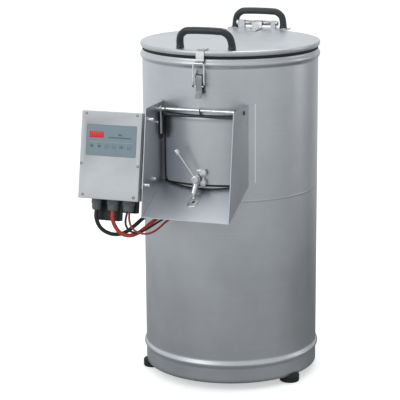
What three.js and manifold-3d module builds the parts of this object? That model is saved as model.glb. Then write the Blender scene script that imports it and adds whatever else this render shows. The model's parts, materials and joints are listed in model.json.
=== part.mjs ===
// Drum vegetable peeler: a round steel casing on three feet, a hinged lid with a toggle latch,
// a discharge chute with a swinging door, and a control box on the side of the chute.
// Millimetres, +Z up, front of the machine towards -Y.
import * as THREE from 'three';
import { mergeVertices } from 'three/addons/utils/BufferGeometryUtils.js';
import Module from 'manifold-3d';

const wasm = await Module();
wasm.setup();

// ---- driving dimensions ----
const ROUND = 48;                 // facets round the drum
const GAP = 0.3;                  // between pieces that touch
const DRUM_R = 225;               // outside radius of the casing
const WALL = 2;                   // casing sheet
const SKIRT_Z = 20;               // lower edge of the casing
const NECK_Z = 847;               // upper edge of the casing
const BEAD_R = 230.1;             // crest of both rolled beads
const BEAD_HALF = 10;             // half the height of a bead
const BEAD_LOW_Z = 68;
const BEAD_HIGH_Z = 834;
const CHAMBER_Z = 490;            // underside of the chamber floor
const LID_BOTTOM_Z = 854.3;
const LID_TOP_Z = 867.3;
const LID_R = 229.6;
const LID_PLATE_R = 221.2;        // the lid's flat plate, inside its rim
const FOOT_R = 25.5;
const FOOT_CIRCLE_R = 209;
const FOOT_TURN = 64.6;           // degrees of the front feet from the front
const HANDLE_R = 9.5;             // grip radius
const HANDLE_HALF = 66;           // half the spacing of the legs
const FRONT_HANDLE_Y = -187;
const REAR_HANDLE_Y = 251;
const LID_PIN = [238, 882];       // y, z of the lid hinge pin
const LATCH_PIVOT = [-234, 806];  // y, z of the toggle lever pin
const BAIL_PIVOT = [-239.3, 782]; // y, z of the bail in the lever
const DOOR_ROD = [-234, 722];     // y, z of the door rod
const DOOR_HALF = 102.5;
const DOOR_LOW_Z = 537.5;
const DOOR_HIGH_Z = 708;
const CHEEK_IN = 110.4;           // inner face of a chute cheek
const CHEEK_OUT = 112.4;
const FLOOR_Z0 = 475;             // top of the chute floor at its front edge
const FLOOR_Y0 = -352;
const FLOOR_SLOPE = 0.389;
const BOX_LEFT = -281.1;
const BOX_RIGHT = -123;
const BOX_FOOT = [-344, 512];     // y, z of the lower front edge of the control box
const BOX_TILT = 10.83;           // degrees that the box leans back
const BOX_LOW = -2.5;             // the box reaches a little below its lower studs' line
const BOX_TALL = 213;
const BOX_DEEP = 85;
const COVER_DEEP = 12;
const KEY_R = 5;
const KEY_PITCH = 19.56;
const KEY_FIRST_X = -251;
const KEY_TALL_Z = 128;
const DISC_R = 208;
const MOTOR_AT = [95, 70];
const PULLEY_R = 60;
const MOTOR_PULLEY_R = 30;
const BELT_Z = [418, 432];

const rad = (degrees) => (degrees * Math.PI) / 180;
const floorZ = (y) => FLOOR_Z0 + (y - FLOOR_Y0) * FLOOR_SLOPE;

// ---- colours and finishes ----
const STEEL = { color: 0xb4b8bb, roughness: 0.38, metalness: 0.9 };
const BRIGHT = { color: 0xd2d5d6, roughness: 0.22, metalness: 1 };
const BLACK = { color: 0x262b2e, roughness: 0.55, metalness: 0 };
const RUBBER = { color: 0x15181a, roughness: 0.8, metalness: 0 };
const GREY_BOX = { color: 0xc3c6c9, roughness: 0.5, metalness: 0 };
const LABEL = { color: 0x84949c, roughness: 0.45, metalness: 0 };
const KEY = { color: 0x39444a, roughness: 0.5, metalness: 0 };
const RED_GLASS = { color: 0xd41a22, roughness: 0.2, metalness: 0 };
const GLAND = { color: 0x6a777a, roughness: 0.5, metalness: 0 };
const RED_CABLE = { color: 0xc63c2a, roughness: 0.5, metalness: 0 };
const CAST = { color: 0x5a6268, roughness: 0.6, metalness: 0.6 };
const GRIT = { color: 0x3b3a38, roughness: 0.95, metalness: 0 };

// ---- solids ----
function signedVolume(position, index) {
  const [a, b, c] = [new THREE.Vector3(), new THREE.Vector3(), new THREE.Vector3()];
  let total = 0;
  for (let i = 0; i < index.count; i += 3) {
    a.fromBufferAttribute(position, index.getX(i));
    b.fromBufferAttribute(position, index.getX(i + 1));
    c.fromBufferAttribute(position, index.getX(i + 2));
    total += a.dot(b.cross(c));
  }
  return total;
}

// A closed three.js geometry as a solid with its faces pointing out.
function solid(geometry) {
  geometry.deleteAttribute('normal');
  geometry.deleteAttribute('uv');
  const merged = mergeVertices(geometry, 1e-4);
  const position = merged.getAttribute('position');
  const index = merged.getIndex();
  const inward = signedVolume(position, index) < 0;
  const faces = [];
  for (let i = 0; i < index.count; i += 3) {
    const [a, b, c] = [index.getX(i), index.getX(i + 1), index.getX(i + 2)];
    if (a === b || b === c || a === c) {
      continue;
    }
    faces.push(a, inward ? c : b, inward ? b : c);
  }
  return new wasm.Manifold(new wasm.Mesh({
    numProp: 3,
    vertProperties: new Float32Array(position.array),
    triVerts: new Uint32Array(faces),
  }));
}

const join = (first, ...rest) => rest.reduce((whole, piece) => whole.add(piece), first);
const cut = (first, ...rest) => rest.reduce((whole, piece) => whole.subtract(piece), first);

function geometryOf(body) {
  const mesh = body.getMesh();
  const geometry = new THREE.BufferGeometry();
  geometry.setAttribute('position', new THREE.BufferAttribute(new Float32Array(mesh.vertProperties), 3));
  geometry.setIndex(new THREE.BufferAttribute(new Uint32Array(mesh.triVerts), 1));
  geometry.computeVertexNormals();
  return geometry;
}

// A block from its low and high corners.
function block(x0, x1, y0, y1, z0, z1) {
  const geometry = new THREE.BoxGeometry(x1 - x0, y1 - y0, z1 - z0);
  geometry.translate((x0 + x1) / 2, (y0 + y1) / 2, (z0 + z1) / 2);
  return solid(geometry);
}

// A closed profile of [radius, height] points turned about +Z.
function turned(profile, segments = ROUND) {
  const points = profile.map(([r, z]) => new THREE.Vector2(r, z));
  if (profile[0][0] > 0 || profile[profile.length - 1][0] > 0) {
    points.push(points[0].clone());
  }
  const geometry = new THREE.LatheGeometry(points, segments);
  geometry.rotateX(Math.PI / 2);
  return solid(geometry);
}

const ring = (inner, outer, z0, z1, segments = ROUND) =>
  turned([[inner, z0], [outer, z0], [outer, z1], [inner, z1]], segments);

const drum = (radius, z0, z1, segments = ROUND) =>
  turned([[0, z0], [radius, z0], [radius, z1], [0, z1]], segments);

// A round bar from one point to another.
function bar(from, to, radius, sides = 16) {
  const start = new THREE.Vector3(...from);
  const end = new THREE.Vector3(...to);
  const along = end.clone().sub(start);
  const geometry = new THREE.CylinderGeometry(radius, radius, along.length(), sides);
  const turn = new THREE.Quaternion().setFromUnitVectors(new THREE.Vector3(0, 1, 0), along.normalize());
  geometry.applyQuaternion(turn);
  const middle = start.add(end).multiplyScalar(0.5);
  geometry.translate(middle.x, middle.y, middle.z);
  return solid(geometry);
}

// An outline of [y, z] points carried along x.
function profileAlongX(outline, x0, x1) {
  const shape = new THREE.Shape(outline.map(([y, z]) => new THREE.Vector2(y, z)));
  const geometry = new THREE.ExtrudeGeometry(shape, { depth: x1 - x0, bevelEnabled: false });
  const turn = new THREE.Matrix4().makeBasis(
    new THREE.Vector3(0, 1, 0), new THREE.Vector3(0, 0, 1), new THREE.Vector3(1, 0, 0));
  geometry.applyMatrix4(turn);
  geometry.translate(x0, 0, 0);
  return solid(geometry);
}

// A round section carried along a smooth curve through the points.
function tube(points, radius, sides, steps) {
  const curve = new THREE.CatmullRomCurve3(points.map((p) => new THREE.Vector3(...p)), false, 'centripetal');
  const section = new THREE.Shape();
  for (let i = 0; i < sides; i += 1) {
    const angle = (2 * Math.PI * i) / sides;
    const place = [radius * Math.cos(angle), radius * Math.sin(angle)];
    if (i === 0) {
      section.moveTo(...place);
    } else {
      section.lineTo(...place);
    }
  }
  return solid(new THREE.ExtrudeGeometry(section, { steps, bevelEnabled: false, extrudePath: curve }));
}

function mesh(name, body, finish) {
  const piece = new THREE.Mesh(geometryOf(body), new THREE.MeshStandardMaterial(finish));
  piece.name = name;
  return piece;
}

// ---- casing, lid and handles ----
function bead(z) {
  const flank = DRUM_R + 0.66 * (BEAD_R - DRUM_R);
  return [
    [DRUM_R, z - BEAD_HALF],
    [flank, z - 0.78 * BEAD_HALF],
    [BEAD_R, z - 0.3 * BEAD_HALF],
    [BEAD_R, z + 0.3 * BEAD_HALF],
    [flank, z + 0.78 * BEAD_HALF],
    [DRUM_R, z + BEAD_HALF],
  ];
}

function casing() {
  const shell = turned([
    [DRUM_R - WALL, SKIRT_Z], [DRUM_R, SKIRT_Z],
    ...bead(BEAD_LOW_Z), ...bead(BEAD_HIGH_Z),
    [DRUM_R, NECK_Z], [DRUM_R - WALL, NECK_Z],
  ]);
  const doorway = block(-97, 97, -240, -190, 543, 701);
  const entries = CABLES.map((cable) => {
    const [outside, inside] = cable.points.slice(-2);
    const beyond = outside.map((value, i) => value + 0.6 * (value - inside[i]));
    return bar(beyond, inside, cable.radius + 1.5, 12);
  });
  const drain = bar([0, 200, DRAIN_Z], [0, 240, DRAIN_Z], DRAIN_R + 0.6, 20);
  return mesh('casing', cut(shell, doorway, ...entries, drain), STEEL);
}

const lid = () => mesh('lid', drum(LID_PLATE_R, LID_TOP_Z - 2.5, LID_TOP_Z), STEEL);

// The lid's edge: a rolled ring that hangs outside the seal.
const lidRim = () => mesh('lid_rim', turned([
  [LID_PLATE_R + GAP, LID_BOTTOM_Z], [226.2, LID_BOTTOM_Z], [228.6, LID_TOP_Z - 9.5],
  [LID_R, LID_TOP_Z - 4.3], [227.6, LID_TOP_Z - 1.3], [223, LID_TOP_Z],
  [LID_PLATE_R + GAP, LID_TOP_Z],
]), STEEL);

const lidSeal = () => mesh('lid_seal',
  ring(219.5, 224, NECK_Z + GAP, LID_BOTTOM_Z - GAP), RUBBER);

const HANDLE_LEAN = { front_handle: 11, rear_handle: 0 };   // the grip's reach over its feet
function handle(name, y, z) {
  const half = HANDLE_HALF;
  const outline = [
    [-half - 1, 0], [-half - 1, 8], [-half, 20], [-half + 4, 32], [-half + 17, 42.5], [-half + 34, 44.5],
    [0, 45],
    [half - 34, 44.5], [half - 17, 42.5], [half - 4, 32], [half, 20], [half + 1, 8], [half + 1, 0],
  ];
  return mesh(name, tube(outline.map(([x, up]) =>
    [x, y - HANDLE_LEAN[name] * Math.max(0, up - 8) / 37, z + up]), HANDLE_R, 10, 20), BLACK);
}

function feet() {
  const places = { foot_left: -FOOT_TURN, foot_right: FOOT_TURN, foot_rear: 180 };
  return Object.entries(places).map(([name, turn]) => {
    const top = SKIRT_Z - GAP;
    const piece = mesh(name, turned([
      [0, 0], [FOOT_R - 2, 0], [FOOT_R, 3], [FOOT_R, top - 3], [FOOT_R - 1.5, top], [0, top],
    ], 20), RUBBER);
    piece.position.set(FOOT_CIRCLE_R * Math.sin(rad(turn)), -FOOT_CIRCLE_R * Math.cos(rad(turn)), 0);
    return piece;
  });
}

const baseRing = () => mesh('base_ring', ring(150, 222.3, SKIRT_Z + 1, SKIRT_Z + 5, 48), STEEL);

// ---- lid hinge ----
function hingeBracket() {
  const [pinY, pinZ] = LID_PIN;
  const shelf = block(-84, 84, 232.5, 266, 864.5, 867.5);
  const back = block(-45, 45, 231.2, 234.2, 770, 866);
  const pad = block(-40, 40, 225.4, 232, 770, 815);
  const ears = [[-54, -37], [37, 50]].map(([x0, x1]) => block(x0, x1, 232.5, 246, 866, 888.5));
  const ribs = [[-42, -39], [39, 42]].map(([x0, x1]) =>
    profileAlongX([[233, 800], [262, 865], [233, 865]], x0, x1));
  const body = join(shelf, back, pad, ...ears, ...ribs);
  return mesh('lid_hinge_bracket', cut(body, bar([-60, pinY, pinZ], [60, pinY, pinZ], 4.4)), STEEL);
}

function hingeLeaf() {
  const [pinY, pinZ] = LID_PIN;
  const plate = block(-14, 14, 172, 231.3, LID_TOP_Z + GAP, LID_TOP_Z + 3.3);
  const arm = block(-14, 14, 226, 231.3, LID_TOP_Z + 1, pinZ + 3);
  const bridge = block(-14, 14, 228, 236, pinZ - 4, pinZ + 4);
  const knuckle = bar([-14, pinY, pinZ], [14, pinY, pinZ], 7, 20);
  const bore = bar([-15, pinY, pinZ], [15, pinY, pinZ], 4.4);
  return mesh('lid_hinge_leaf', cut(join(plate, arm, bridge, knuckle), bore), STEEL);
}

function hingePin() {
  const [pinY, pinZ] = LID_PIN;
  const pin = bar([-57, pinY, pinZ], [54, pinY, pinZ], 4);
  const nut = bar([50.4, pinY, pinZ], [56, pinY, pinZ], 7, 6);
  return mesh('lid_hinge_pin', join(pin, nut), BRIGHT);
}

// ---- toggle latch ----
function latchBase() {
  const [y, z] = LATCH_PIVOT;
  const plate = block(-12, 12, -227.8, -225.6, 764, 821.5);
  const lip = block(-9, 9, -235, -227, 819.5, 821.5);
  const ears = [[-11, -9], [9, 11]].map(([x0, x1]) => block(x0, x1, y - 1, -227, 784, 814));
  const bosses = [[-11, -9], [9, 11]].map(([x0, x1]) => bar([x0, y, z], [x1, y, z], 3.6));
  const bore = bar([-12, y, z], [12, y, z], 1.9, 12);
  return mesh('latch_base', cut(join(plate, lip, ...ears, ...bosses), bore), BRIGHT);
}

function latchLever() {
  const [y, z] = LATCH_PIVOT;
  const blade = profileAlongX([
    [y - 3.5, z + 4], [y - 6.2, z + 1], [y - 7, z - 8], [y - 7, 769], [y - 17, 756], [y - 16, 753.4],
    [y - 12, 755], [y - 3.6, 768], [y - 3.6, z - 4], [y, z - 3.5], [y, z + 3.5],
  ], -7.5, 7.5);
  const boss = bar([-7.5, y, z], [7.5, y, z], 4);
  const pin = bar([-12.5, y, z], [12.5, y, z], 1.5, 12);
  return mesh('latch_lever', join(blade, boss, pin), BRIGHT);
}

function latchBail() {
  const [y, z] = BAIL_PIVOT;
  const [wide, front, top] = [13.6, -243.2, 838];
  const wire = [
    [-8, y, z], [-wide + 2, y - 0.3, z], [-wide, y - 1.5, z + 4], [-wide, front, z + 18],
    [-wide, front, top - 6], [-wide + 2.5, front, top - 1], [-wide + 6, front, top],
    [wide - 6, front, top], [wide - 2.5, front, top - 1], [wide, front, top - 6],
    [wide, front, z + 18], [wide, y - 1.5, z + 4], [wide - 2, y - 0.3, z], [8, y, z],
  ];
  return mesh('latch_bail', tube(wire, 1.5, 6, 32), BRIGHT);
}

// The strike's sheet folded over the lid's rim, its lower edge curled out for the bail.
const latchStrike = () => mesh('latch_strike', profileAlongX([
  [-196, LID_TOP_Z + 2.4], [-196, LID_TOP_Z + GAP], [-223.4, LID_TOP_Z + GAP],
  [-228.2, LID_TOP_Z - 0.7], [-230.3, LID_TOP_Z - 4.3], [-230.5, 848], [-233, 841.6],
  [-239.6, 839.8], [-240.4, 841.4], [-234.4, 843.8], [-232.5, 848.6], [-232.4, LID_TOP_Z - 3.6],
  [-229.6, LID_TOP_Z + 0.8], [-224, LID_TOP_Z + 2.4],
], -10.5, 10.5), BRIGHT);

// ---- chute ----
function cheek(name, side) {
  const plate = profileAlongX([
    [-196.6, 735], [-311, 735], [FLOOR_Y0, FLOOR_Z0 - 2.5], [-196.6, floorZ(-196.6) - 2.5],
  ], CHEEK_IN, CHEEK_OUT);
  const strip = ring(DRUM_R + 0.4, DRUM_R + 2.4, 541, 737)
    .intersect(block(CHEEK_IN, 127.9, -230, -150, 540, 738));
  const holes = [bar([100, ...DOOR_ROD], [120, ...DOOR_ROD], 4.4)];
  if (side < 0) {
    BOX_STUDS.forEach((stud) => holes.push(bar([100, ...stud], [120, ...stud], 3.4, 12)));
  }
  const body = cut(join(plate, strip), ...holes);
  return mesh(name, side > 0 ? body : solid(geometryOf(body).scale(-1, 1, 1)), STEEL);
}

function chuteFloor() {
  const width = CHEEK_IN - GAP;
  const plate = profileAlongX([
    [FLOOR_Y0, FLOOR_Z0], [FLOOR_Y0, FLOOR_Z0 - 2], [-190, floorZ(-190) - 2], [-190, floorZ(-190)],
  ], -width, width);
  const boltWay = bar(BOLT_TOP, along(BOLT_TOP, BOLT_WAY, 60), 5.2, 14);
  return mesh('chute_floor', cut(plate, drum(DRUM_R + 0.4, 400, 600), boltWay), STEEL);
}

// ---- door with its rod, seal and bolt ----
function door() {
  const [rodY, rodZ] = DOOR_ROD;
  const sheet = ring(227.1, 229.1, DOOR_LOW_Z, DOOR_HIGH_Z)
    .intersect(block(-DOOR_HALF, DOOR_HALF, -231, -190, DOOR_LOW_Z, DOOR_HIGH_Z));
  const shelf = cut(block(-96, 96, -232, -200, DOOR_HIGH_Z - 2, DOOR_HIGH_Z), drum(227.1, 600, 800));
  const rod = bar([-113.4, rodY, rodZ], [113.4, rodY, rodZ], 4, 16);
  const lugs = [-80, 0, 80].map((x) => profileAlongX([
    [rodY - 2.5, rodZ], [rodY + 2.5, rodZ], [rodY + 5.4, DOOR_HIGH_Z - 1], [rodY + 2.2, DOOR_HIGH_Z - 1],
  ], x - 4, x + 4));
  return mesh('door', join(sheet, shelf, rod, ...lugs), STEEL);
}

const doorSeal = () => {
  const frame = ring(DRUM_R + 0.4, DRUM_R + 1.8, 535.6, 710)
    .intersect(block(-105.6, 105.6, -230, -190, 535.6, 710));
  return mesh('door_seal', cut(frame, block(-96.5, 96.5, -240, -190, 543.5, 700.5)), RUBBER);
};

function switchArm() {
  const [rodY, rodZ] = DOOR_ROD;
  const eye = bar([-102.6, rodY, rodZ], [-100, rodY, rodZ], 7.5, 18);
  const blade = block(-102.6, -100, rodY - 4, rodY + 4, 660, rodZ);
  const bore = bar([-104, rodY, rodZ], [-99, rodY, rodZ], 4.4);
  return mesh('switch_arm', cut(join(eye, blade), bore), BRIGHT);
}

const safetySwitch = () => mesh('safety_switch', join(
  block(-CHEEK_IN + GAP, -105.2, -228, -206, 656, 712),
  block(-CHEEK_IN + GAP, -106.2, -224, -210, 644, 658),
), BLACK);

const BOLT_TOP = [-6, -250, 542];
const BOLT_WAY = new THREE.Vector3(-3, -16, -30).normalize();
const along = (point, way, distance) => point.map((value, i) => value + way.getComponent(i) * distance);
const HUB_AT = [-6, 554];         // x, z of the latch handle's hub

function doorLatchBody() {
  const [x, z] = HUB_AT;
  const plate = block(-14, 16, -236, -229.5, 540, 578);
  const knobs = [545, 571].map((height) => bar([6, -244, height], [6, -235, height], 6, 14));
  const arm = block(-11, -1, -257, -235, 534, 545);
  const sleeve = bar(along(BOLT_TOP, BOLT_WAY, 1.5), along(BOLT_TOP, BOLT_WAY, 26), 7.2, 18);
  const shaftHole = bar([x, -240, z], [x, -230.5, z], 4.9);
  const bore = bar(along(BOLT_TOP, BOLT_WAY, -4), along(BOLT_TOP, BOLT_WAY, 60), 4.4);
  return mesh('door_latch_body', cut(join(plate, ...knobs, arm, sleeve), shaftHole, bore), BRIGHT);
}

function doorLatchHandle() {
  const [x, z] = HUB_AT;
  const hub = bar([x, -262, z], [x, -245, z], 8.3, 20);
  const shaft = bar([x, -246, z], [x, -231.5, z], 4.5);
  const arm = bar([x, -253, z], [-49, -257, 616], 3, 12);
  return mesh('door_latch_handle', join(hub, shaft, arm), BRIGHT);
}

const doorLatchCap = () => mesh('door_latch_cap',
  bar([-49.4, -257.04, 616.6], [-56, -257.6, 626], 5.6, 16), BRIGHT);

const doorBolt = () => mesh('door_bolt',
  bar(along(BOLT_TOP, BOLT_WAY, 2.5), along(BOLT_TOP, BOLT_WAY, 30), 4), BRIGHT);

function keeper() {
  const top = (y) => floorZ(y) + 2.3;
  const plate = profileAlongX([
    [-256, floorZ(-256) + GAP], [-256, top(-256)], [-292, top(-292)], [-292, floorZ(-292) + GAP],
  ], -19, 3);
  return mesh('bolt_keeper', cut(plate, bar(BOLT_TOP, along(BOLT_TOP, BOLT_WAY, 60), 4.8, 14)), BRIGHT);
}

// ---- control box, drawn upright at its lower front edge and leant back as one group ----
const BOX_STUDS = [[-299, 706], [-250, 691], [-331, 550], [-270, 553]];
const GLANDS = [
  { x: -247, bore: 5.6, wide: 0.85 },
  { x: -203, bore: 5.6, wide: 1 },
  { x: -162, bore: 6.2, wide: 1 },
];
const GLAND_DEEP = 40;            // of the gland axis behind the box face

// A point of the machine, seen in the box's own leaning frame.
function inBox([x, y, z]) {
  const [c, s] = [Math.cos(rad(BOX_TILT)), Math.sin(rad(BOX_TILT))];
  const [dy, dz] = [y - BOX_FOOT[0], z - BOX_FOOT[1]];
  return [x, dy * c - dz * s, dy * s + dz * c];
}

function outOfBox([x, y, z]) {
  const [c, s] = [Math.cos(rad(BOX_TILT)), Math.sin(rad(BOX_TILT))];
  return [x, BOX_FOOT[0] + y * c + z * s, BOX_FOOT[1] - y * s + z * c];
}

function boxBase() {
  const outside = block(BOX_LEFT, BOX_RIGHT, COVER_DEEP + GAP, BOX_DEEP, BOX_LOW, BOX_TALL);
  const inside = block(BOX_LEFT + 3, BOX_RIGHT - 3, COVER_DEEP - 1, BOX_DEEP - 3, BOX_LOW + 3, BOX_TALL - 3);
  const holes = GLANDS.map(({ x }) =>
    bar([x, GLAND_DEEP, BOX_LOW - 1], [x, GLAND_DEEP, BOX_LOW + 4], 10.4));
  return mesh('box_base', cut(outside, inside, ...holes), GREY_BOX);
}

// An angle of sheet that carries the box, with four studs through the left cheek.
// The back studs stay short of the swinging door.
function boxBracket() {
  const side = block(-115.2, -CHEEK_OUT - GAP, 1, 88, 30, 207);
  const back = block(-240, -CHEEK_OUT - GAP, BOX_DEEP + GAP, 88, 30, 207);
  const studs = BOX_STUDS.map(([y, z], i) => {
    const reach = i % 2 === 0 ? -95.5 : -103.2;
    return bar(inBox([-114, y, z]), inBox([reach, y, z]), 3, 12);
  });
  return mesh('box_bracket', join(side, back, ...studs), STEEL);
}

const labelHole = (grow) => block(
  -266.4 - grow, -134.6 + grow, -1, 1.6, 103.8 - grow, 179.8 + grow);

function boxCover() {
  const outside = block(BOX_LEFT, BOX_RIGHT, 0, COVER_DEEP, BOX_LOW, BOX_TALL);
  const inside = block(BOX_LEFT + 3, BOX_RIGHT - 3, 5, COVER_DEEP + 1, BOX_LOW + 3, BOX_TALL - 3);
  return mesh('box_cover', cut(outside, inside, labelHole(GAP)), GREY_BOX);
}

const keyX = (i) => KEY_FIRST_X + i * KEY_PITCH;

function labelPanel() {
  const plate = block(-266.4, -134.6, 0.1, 1.3, 103.8, 179.8);
  const window = block(-258.3, -220.7, -1, 3, 147.7, 163.3);
  const holes = [0, 1, 2, 3, 4, 5].map((i) =>
    bar([keyX(i), -1, KEY_TALL_Z], [keyX(i), 3, KEY_TALL_Z], KEY_R + 0.4, 12));
  return mesh('label_panel', cut(plate, window, ...holes), LABEL);
}

const display = () => mesh('display_window', block(-258, -221, 0.3, 1.3, 148, 163), RED_GLASS);

const keys = () => [0, 1, 2, 3, 4, 5].map((i) => mesh(`key_${i + 1}`,
  bar([keyX(i), -0.2, KEY_TALL_Z], [keyX(i), 0.8, KEY_TALL_Z], KEY_R, 12), KEY));

function gland({ x, bore, wide }, name) {
  const body = turned([
    [bore, -29], [10.5 * wide, -29], [13 * wide, -26], [13.4 * wide, -17], [15.6 * wide, -16.5],
    [15.6 * wide, -GAP], [10 * wide, -GAP], [10 * wide, 5], [bore, 5],
  ], 14);
  const piece = mesh(name, body, GLAND);
  piece.position.set(x, GLAND_DEEP, BOX_LOW);
  return piece;
}

const powerConnector = () => mesh('power_connector', join(
  block(-257, -193, 60, 84, -58, BOX_LOW - GAP),
  block(-261, -189, 57.4, 84, -12, BOX_LOW - GAP),
), BLACK);

const signalConnector = () => mesh('signal_connector',
  block(-186, -150, 62, 84, -36, BOX_LOW - GAP), BLACK);

// ---- cables from the glands to the casing ----
const exitOf = (x, down) => outOfBox([x, GLAND_DEEP, down]);
const CABLES = [
  { name: 'cable_black_thick', radius: 5, finish: RUBBER, points: [
    exitOf(-247, 4), exitOf(-247, -14), exitOf(-247, -34),
    [-247.5, -313, 460], [-245.5, -312, 445], [-240, -308, 430], [-230, -302, 418], [-213, -295, 410],
    [-195, -287, 409.5], [-178, -278, 416.5], [-163, -267, 429], [-148, -254, 444], [-133, -240, 457],
    [-118, -225, 466], [-104, -208, 470.5], [-92, -187, 471],
  ] },
  { name: 'cable_red_thick', radius: 5, finish: RED_CABLE, points: [
    exitOf(-203, 4), exitOf(-203, -14), exitOf(-203, -34),
    [-203, -314, 460], [-201, -314, 446], [-196, -312, 433], [-188, -309, 421], [-176, -305, 413.5],
    [-161, -299, 411.5], [-147, -290, 416], [-134, -278, 425.5], [-121, -264, 437.5], [-107, -249, 450],
    [-93, -233, 460], [-80, -214, 467], [-69, -192, 469],
  ] },
  { name: 'cable_black_thin', radius: 2.7, finish: RUBBER, points: [
    exitOf(-165, 4), exitOf(-165, -14), exitOf(-165, -32),
    [-167, -313.5, 461], [-168.5, -314, 449], [-167, -314, 439], [-161.5, -313.5, 430],
    [-153, -312.5, 424.5], [-142, -310.5, 422.5], [-130, -306, 425], [-119, -299, 430.5], [-110, -290, 436.5],
    [-101, -279, 442.5], [-91, -266, 449], [-80, -251, 455.5], [-69, -236, 461], [-59, -219, 465.5],
    [-50, -197, 468],
  ] },
  { name: 'cable_red_thin', radius: 2.7, finish: RED_CABLE, points: [
    exitOf(-159, 4), exitOf(-159, -14), exitOf(-159, -32),
    [-158.5, -314.5, 461], [-156, -317, 449], [-150.5, -319.5, 439], [-141, -321.5, 431], [-129, -322.5, 426.5],
    [-115.5, -322, 425], [-102, -318.5, 427], [-91.5, -311, 432], [-84, -299, 438.5], [-78, -284, 445.5],
    [-70, -268, 452.5], [-60, -252, 460], [-50, -237, 466.5], [-41, -220, 472], [-33, -199, 475],
  ] },
];

const cables = () => CABLES.map(({ name, radius, finish, points }) =>
  mesh(name, tube(points, radius, 8, radius > 4 ? 20 : 26), finish));

// ---- inside: chamber floor, disc and drive ----
const DRAIN_R = 20;
const DRAIN_Z = 437;
const DRAIN_Y = 160;

const chamberFloor = () => mesh('chamber_floor', cut(
  drum(222.3, CHAMBER_Z, CHAMBER_Z + 4),
  drum(12.6, 480, 500, 24),
  bar([0, DRAIN_Y, 480], [0, DRAIN_Y, 500], DRAIN_R - 2, 20),
), STEEL);

const wallLiner = () => mesh('wall_liner',
  cut(ring(219, 222.3, 516, 840), block(-98, 98, -240, -180, 542, 702)), GRIT);

function peelingDisc() {
  const plate = turned([[0, 505], [60, 505], [64, 508], [DISC_R, 508], [DISC_R, 514], [0, 516]], 36);
  const ribs = [0, 120, 240].map((turn) => {
    const rib = new THREE.CylinderGeometry(6, 13, 8, 4);
    rib.rotateY(Math.PI / 4);
    rib.scale(7, 1, 0.7);
    rib.rotateX(Math.PI / 2);
    rib.translate(118, 0, 517);
    rib.rotateZ(rad(turn + 15));
    return solid(rib);
  });
  return mesh('peeling_disc', join(plate, ...ribs), GRIT);
}

const driveShaft = () => mesh('drive_shaft', drum(12, 410, 504.7, 24), BRIGHT);

const bearingHousing = () => mesh('bearing_housing', turned([
  [12.5, 442], [26, 442], [28, 446], [28, 478], [48, 482], [48, CHAMBER_Z - GAP], [12.5, CHAMBER_Z - GAP],
], 20), CAST);

const [beltLow, beltHigh] = BELT_Z;
const sheave = (bore, radius) => [
  [bore, beltLow - 4], [radius + 5, beltLow - 4], [radius + 5, beltLow - 0.6], [radius, beltLow - 0.6],
  [radius, beltHigh + 0.6], [radius + 5, beltHigh + 0.6], [radius + 5, beltHigh + 4], [bore, beltHigh + 4],
];

const shaftPulley = () => mesh('shaft_pulley', turned(sheave(12.3, PULLEY_R), 28), CAST);

function motorPulley() {
  const wheel = turned([[0, beltLow - 4], ...sheave(0, MOTOR_PULLEY_R).slice(1, 7), [0, beltHigh + 4]], 28);
  const piece = mesh('motor_pulley', join(wheel, drum(8, 388, beltLow, 20)), CAST);
  piece.position.set(...MOTOR_AT, 0);
  return piece;
}

// The belt: the outline round both pulleys, less the same outline a belt's thickness in.
function driveBelt() {
  const span = Math.hypot(...MOTOR_AT);
  const lean = Math.acos((PULLEY_R - MOTOR_PULLEY_R) / span);
  const loop = (grow, z0, z1) => {
    const shape = new THREE.Shape();
    shape.absarc(0, 0, PULLEY_R + grow, lean, 2 * Math.PI - lean, false);
    shape.absarc(span, 0, MOTOR_PULLEY_R + grow, -lean, lean, false);
    const outline = new THREE.ExtrudeGeometry(shape, {
      depth: z1 - z0, bevelEnabled: false, curveSegments: 12 });
    outline.translate(0, 0, z0);
    return solid(outline);
  };
  const body = cut(loop(4.4, beltLow, beltHigh), loop(0.6, beltLow - 1, beltHigh + 1));
  const piece = mesh('drive_belt', body, RUBBER);
  piece.rotation.z = Math.atan2(MOTOR_AT[1], MOTOR_AT[0]);
  return piece;
}

function motorMount() {
  const plate = cut(block(-30, 62, -75, 75, 402, 407), drum(26, 395, 410, 28));
  const posts = [[50, 45], [50, -45], [-15, 65], [-15, -65]].map(([x, y]) =>
    bar([x, y, 403], [x, y, CHAMBER_Z - GAP], 6, 12));
  const piece = mesh('motor_mount', join(plate, ...posts), STEEL);
  piece.position.set(...MOTOR_AT, 0);
  piece.rotation.z = Math.atan2(MOTOR_AT[1], MOTOR_AT[0]);
  return piece;
}

function motor() {
  const body = turned([
    [0, 190], [52, 190], [58, 196], [58, 386], [54, 392], [54, 401.7], [8.5, 401.7], [8.5, 386], [0, 386],
  ], 24);
  const piece = mesh('motor', join(body, block(-30, 30, -80, -50, 270, 350)), CAST);
  piece.position.set(...MOTOR_AT, 0);
  return piece;
}

function drainPipe() {
  const route = [
    [0, DRAIN_Y, CHAMBER_Z - GAP], [0, DRAIN_Y, 474], [0, DRAIN_Y + 6, 452], [0, DRAIN_Y + 24, 440],
    [0, DRAIN_Y + 48, DRAIN_Z], [0, 256, DRAIN_Z],
  ];
  const bore = [[0, DRAIN_Y, 500], ...route.slice(1, -1), [0, 266, DRAIN_Z]];
  return mesh('drain_pipe', cut(tube(route, DRAIN_R, 12, 8), tube(bore, DRAIN_R - 2, 12, 8)), STEEL);
}

// ---- the whole machine ----
const box = new THREE.Group();
box.position.set(0, ...BOX_FOOT);
box.rotation.x = -rad(BOX_TILT);
box.add(boxBase(), boxBracket(), boxCover(), labelPanel(), display(), ...keys());
box.add(...GLANDS.map((each, i) => gland(each, `gland_${['left', 'middle', 'right'][i]}`)));
box.add(powerConnector(), signalConnector());

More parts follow.
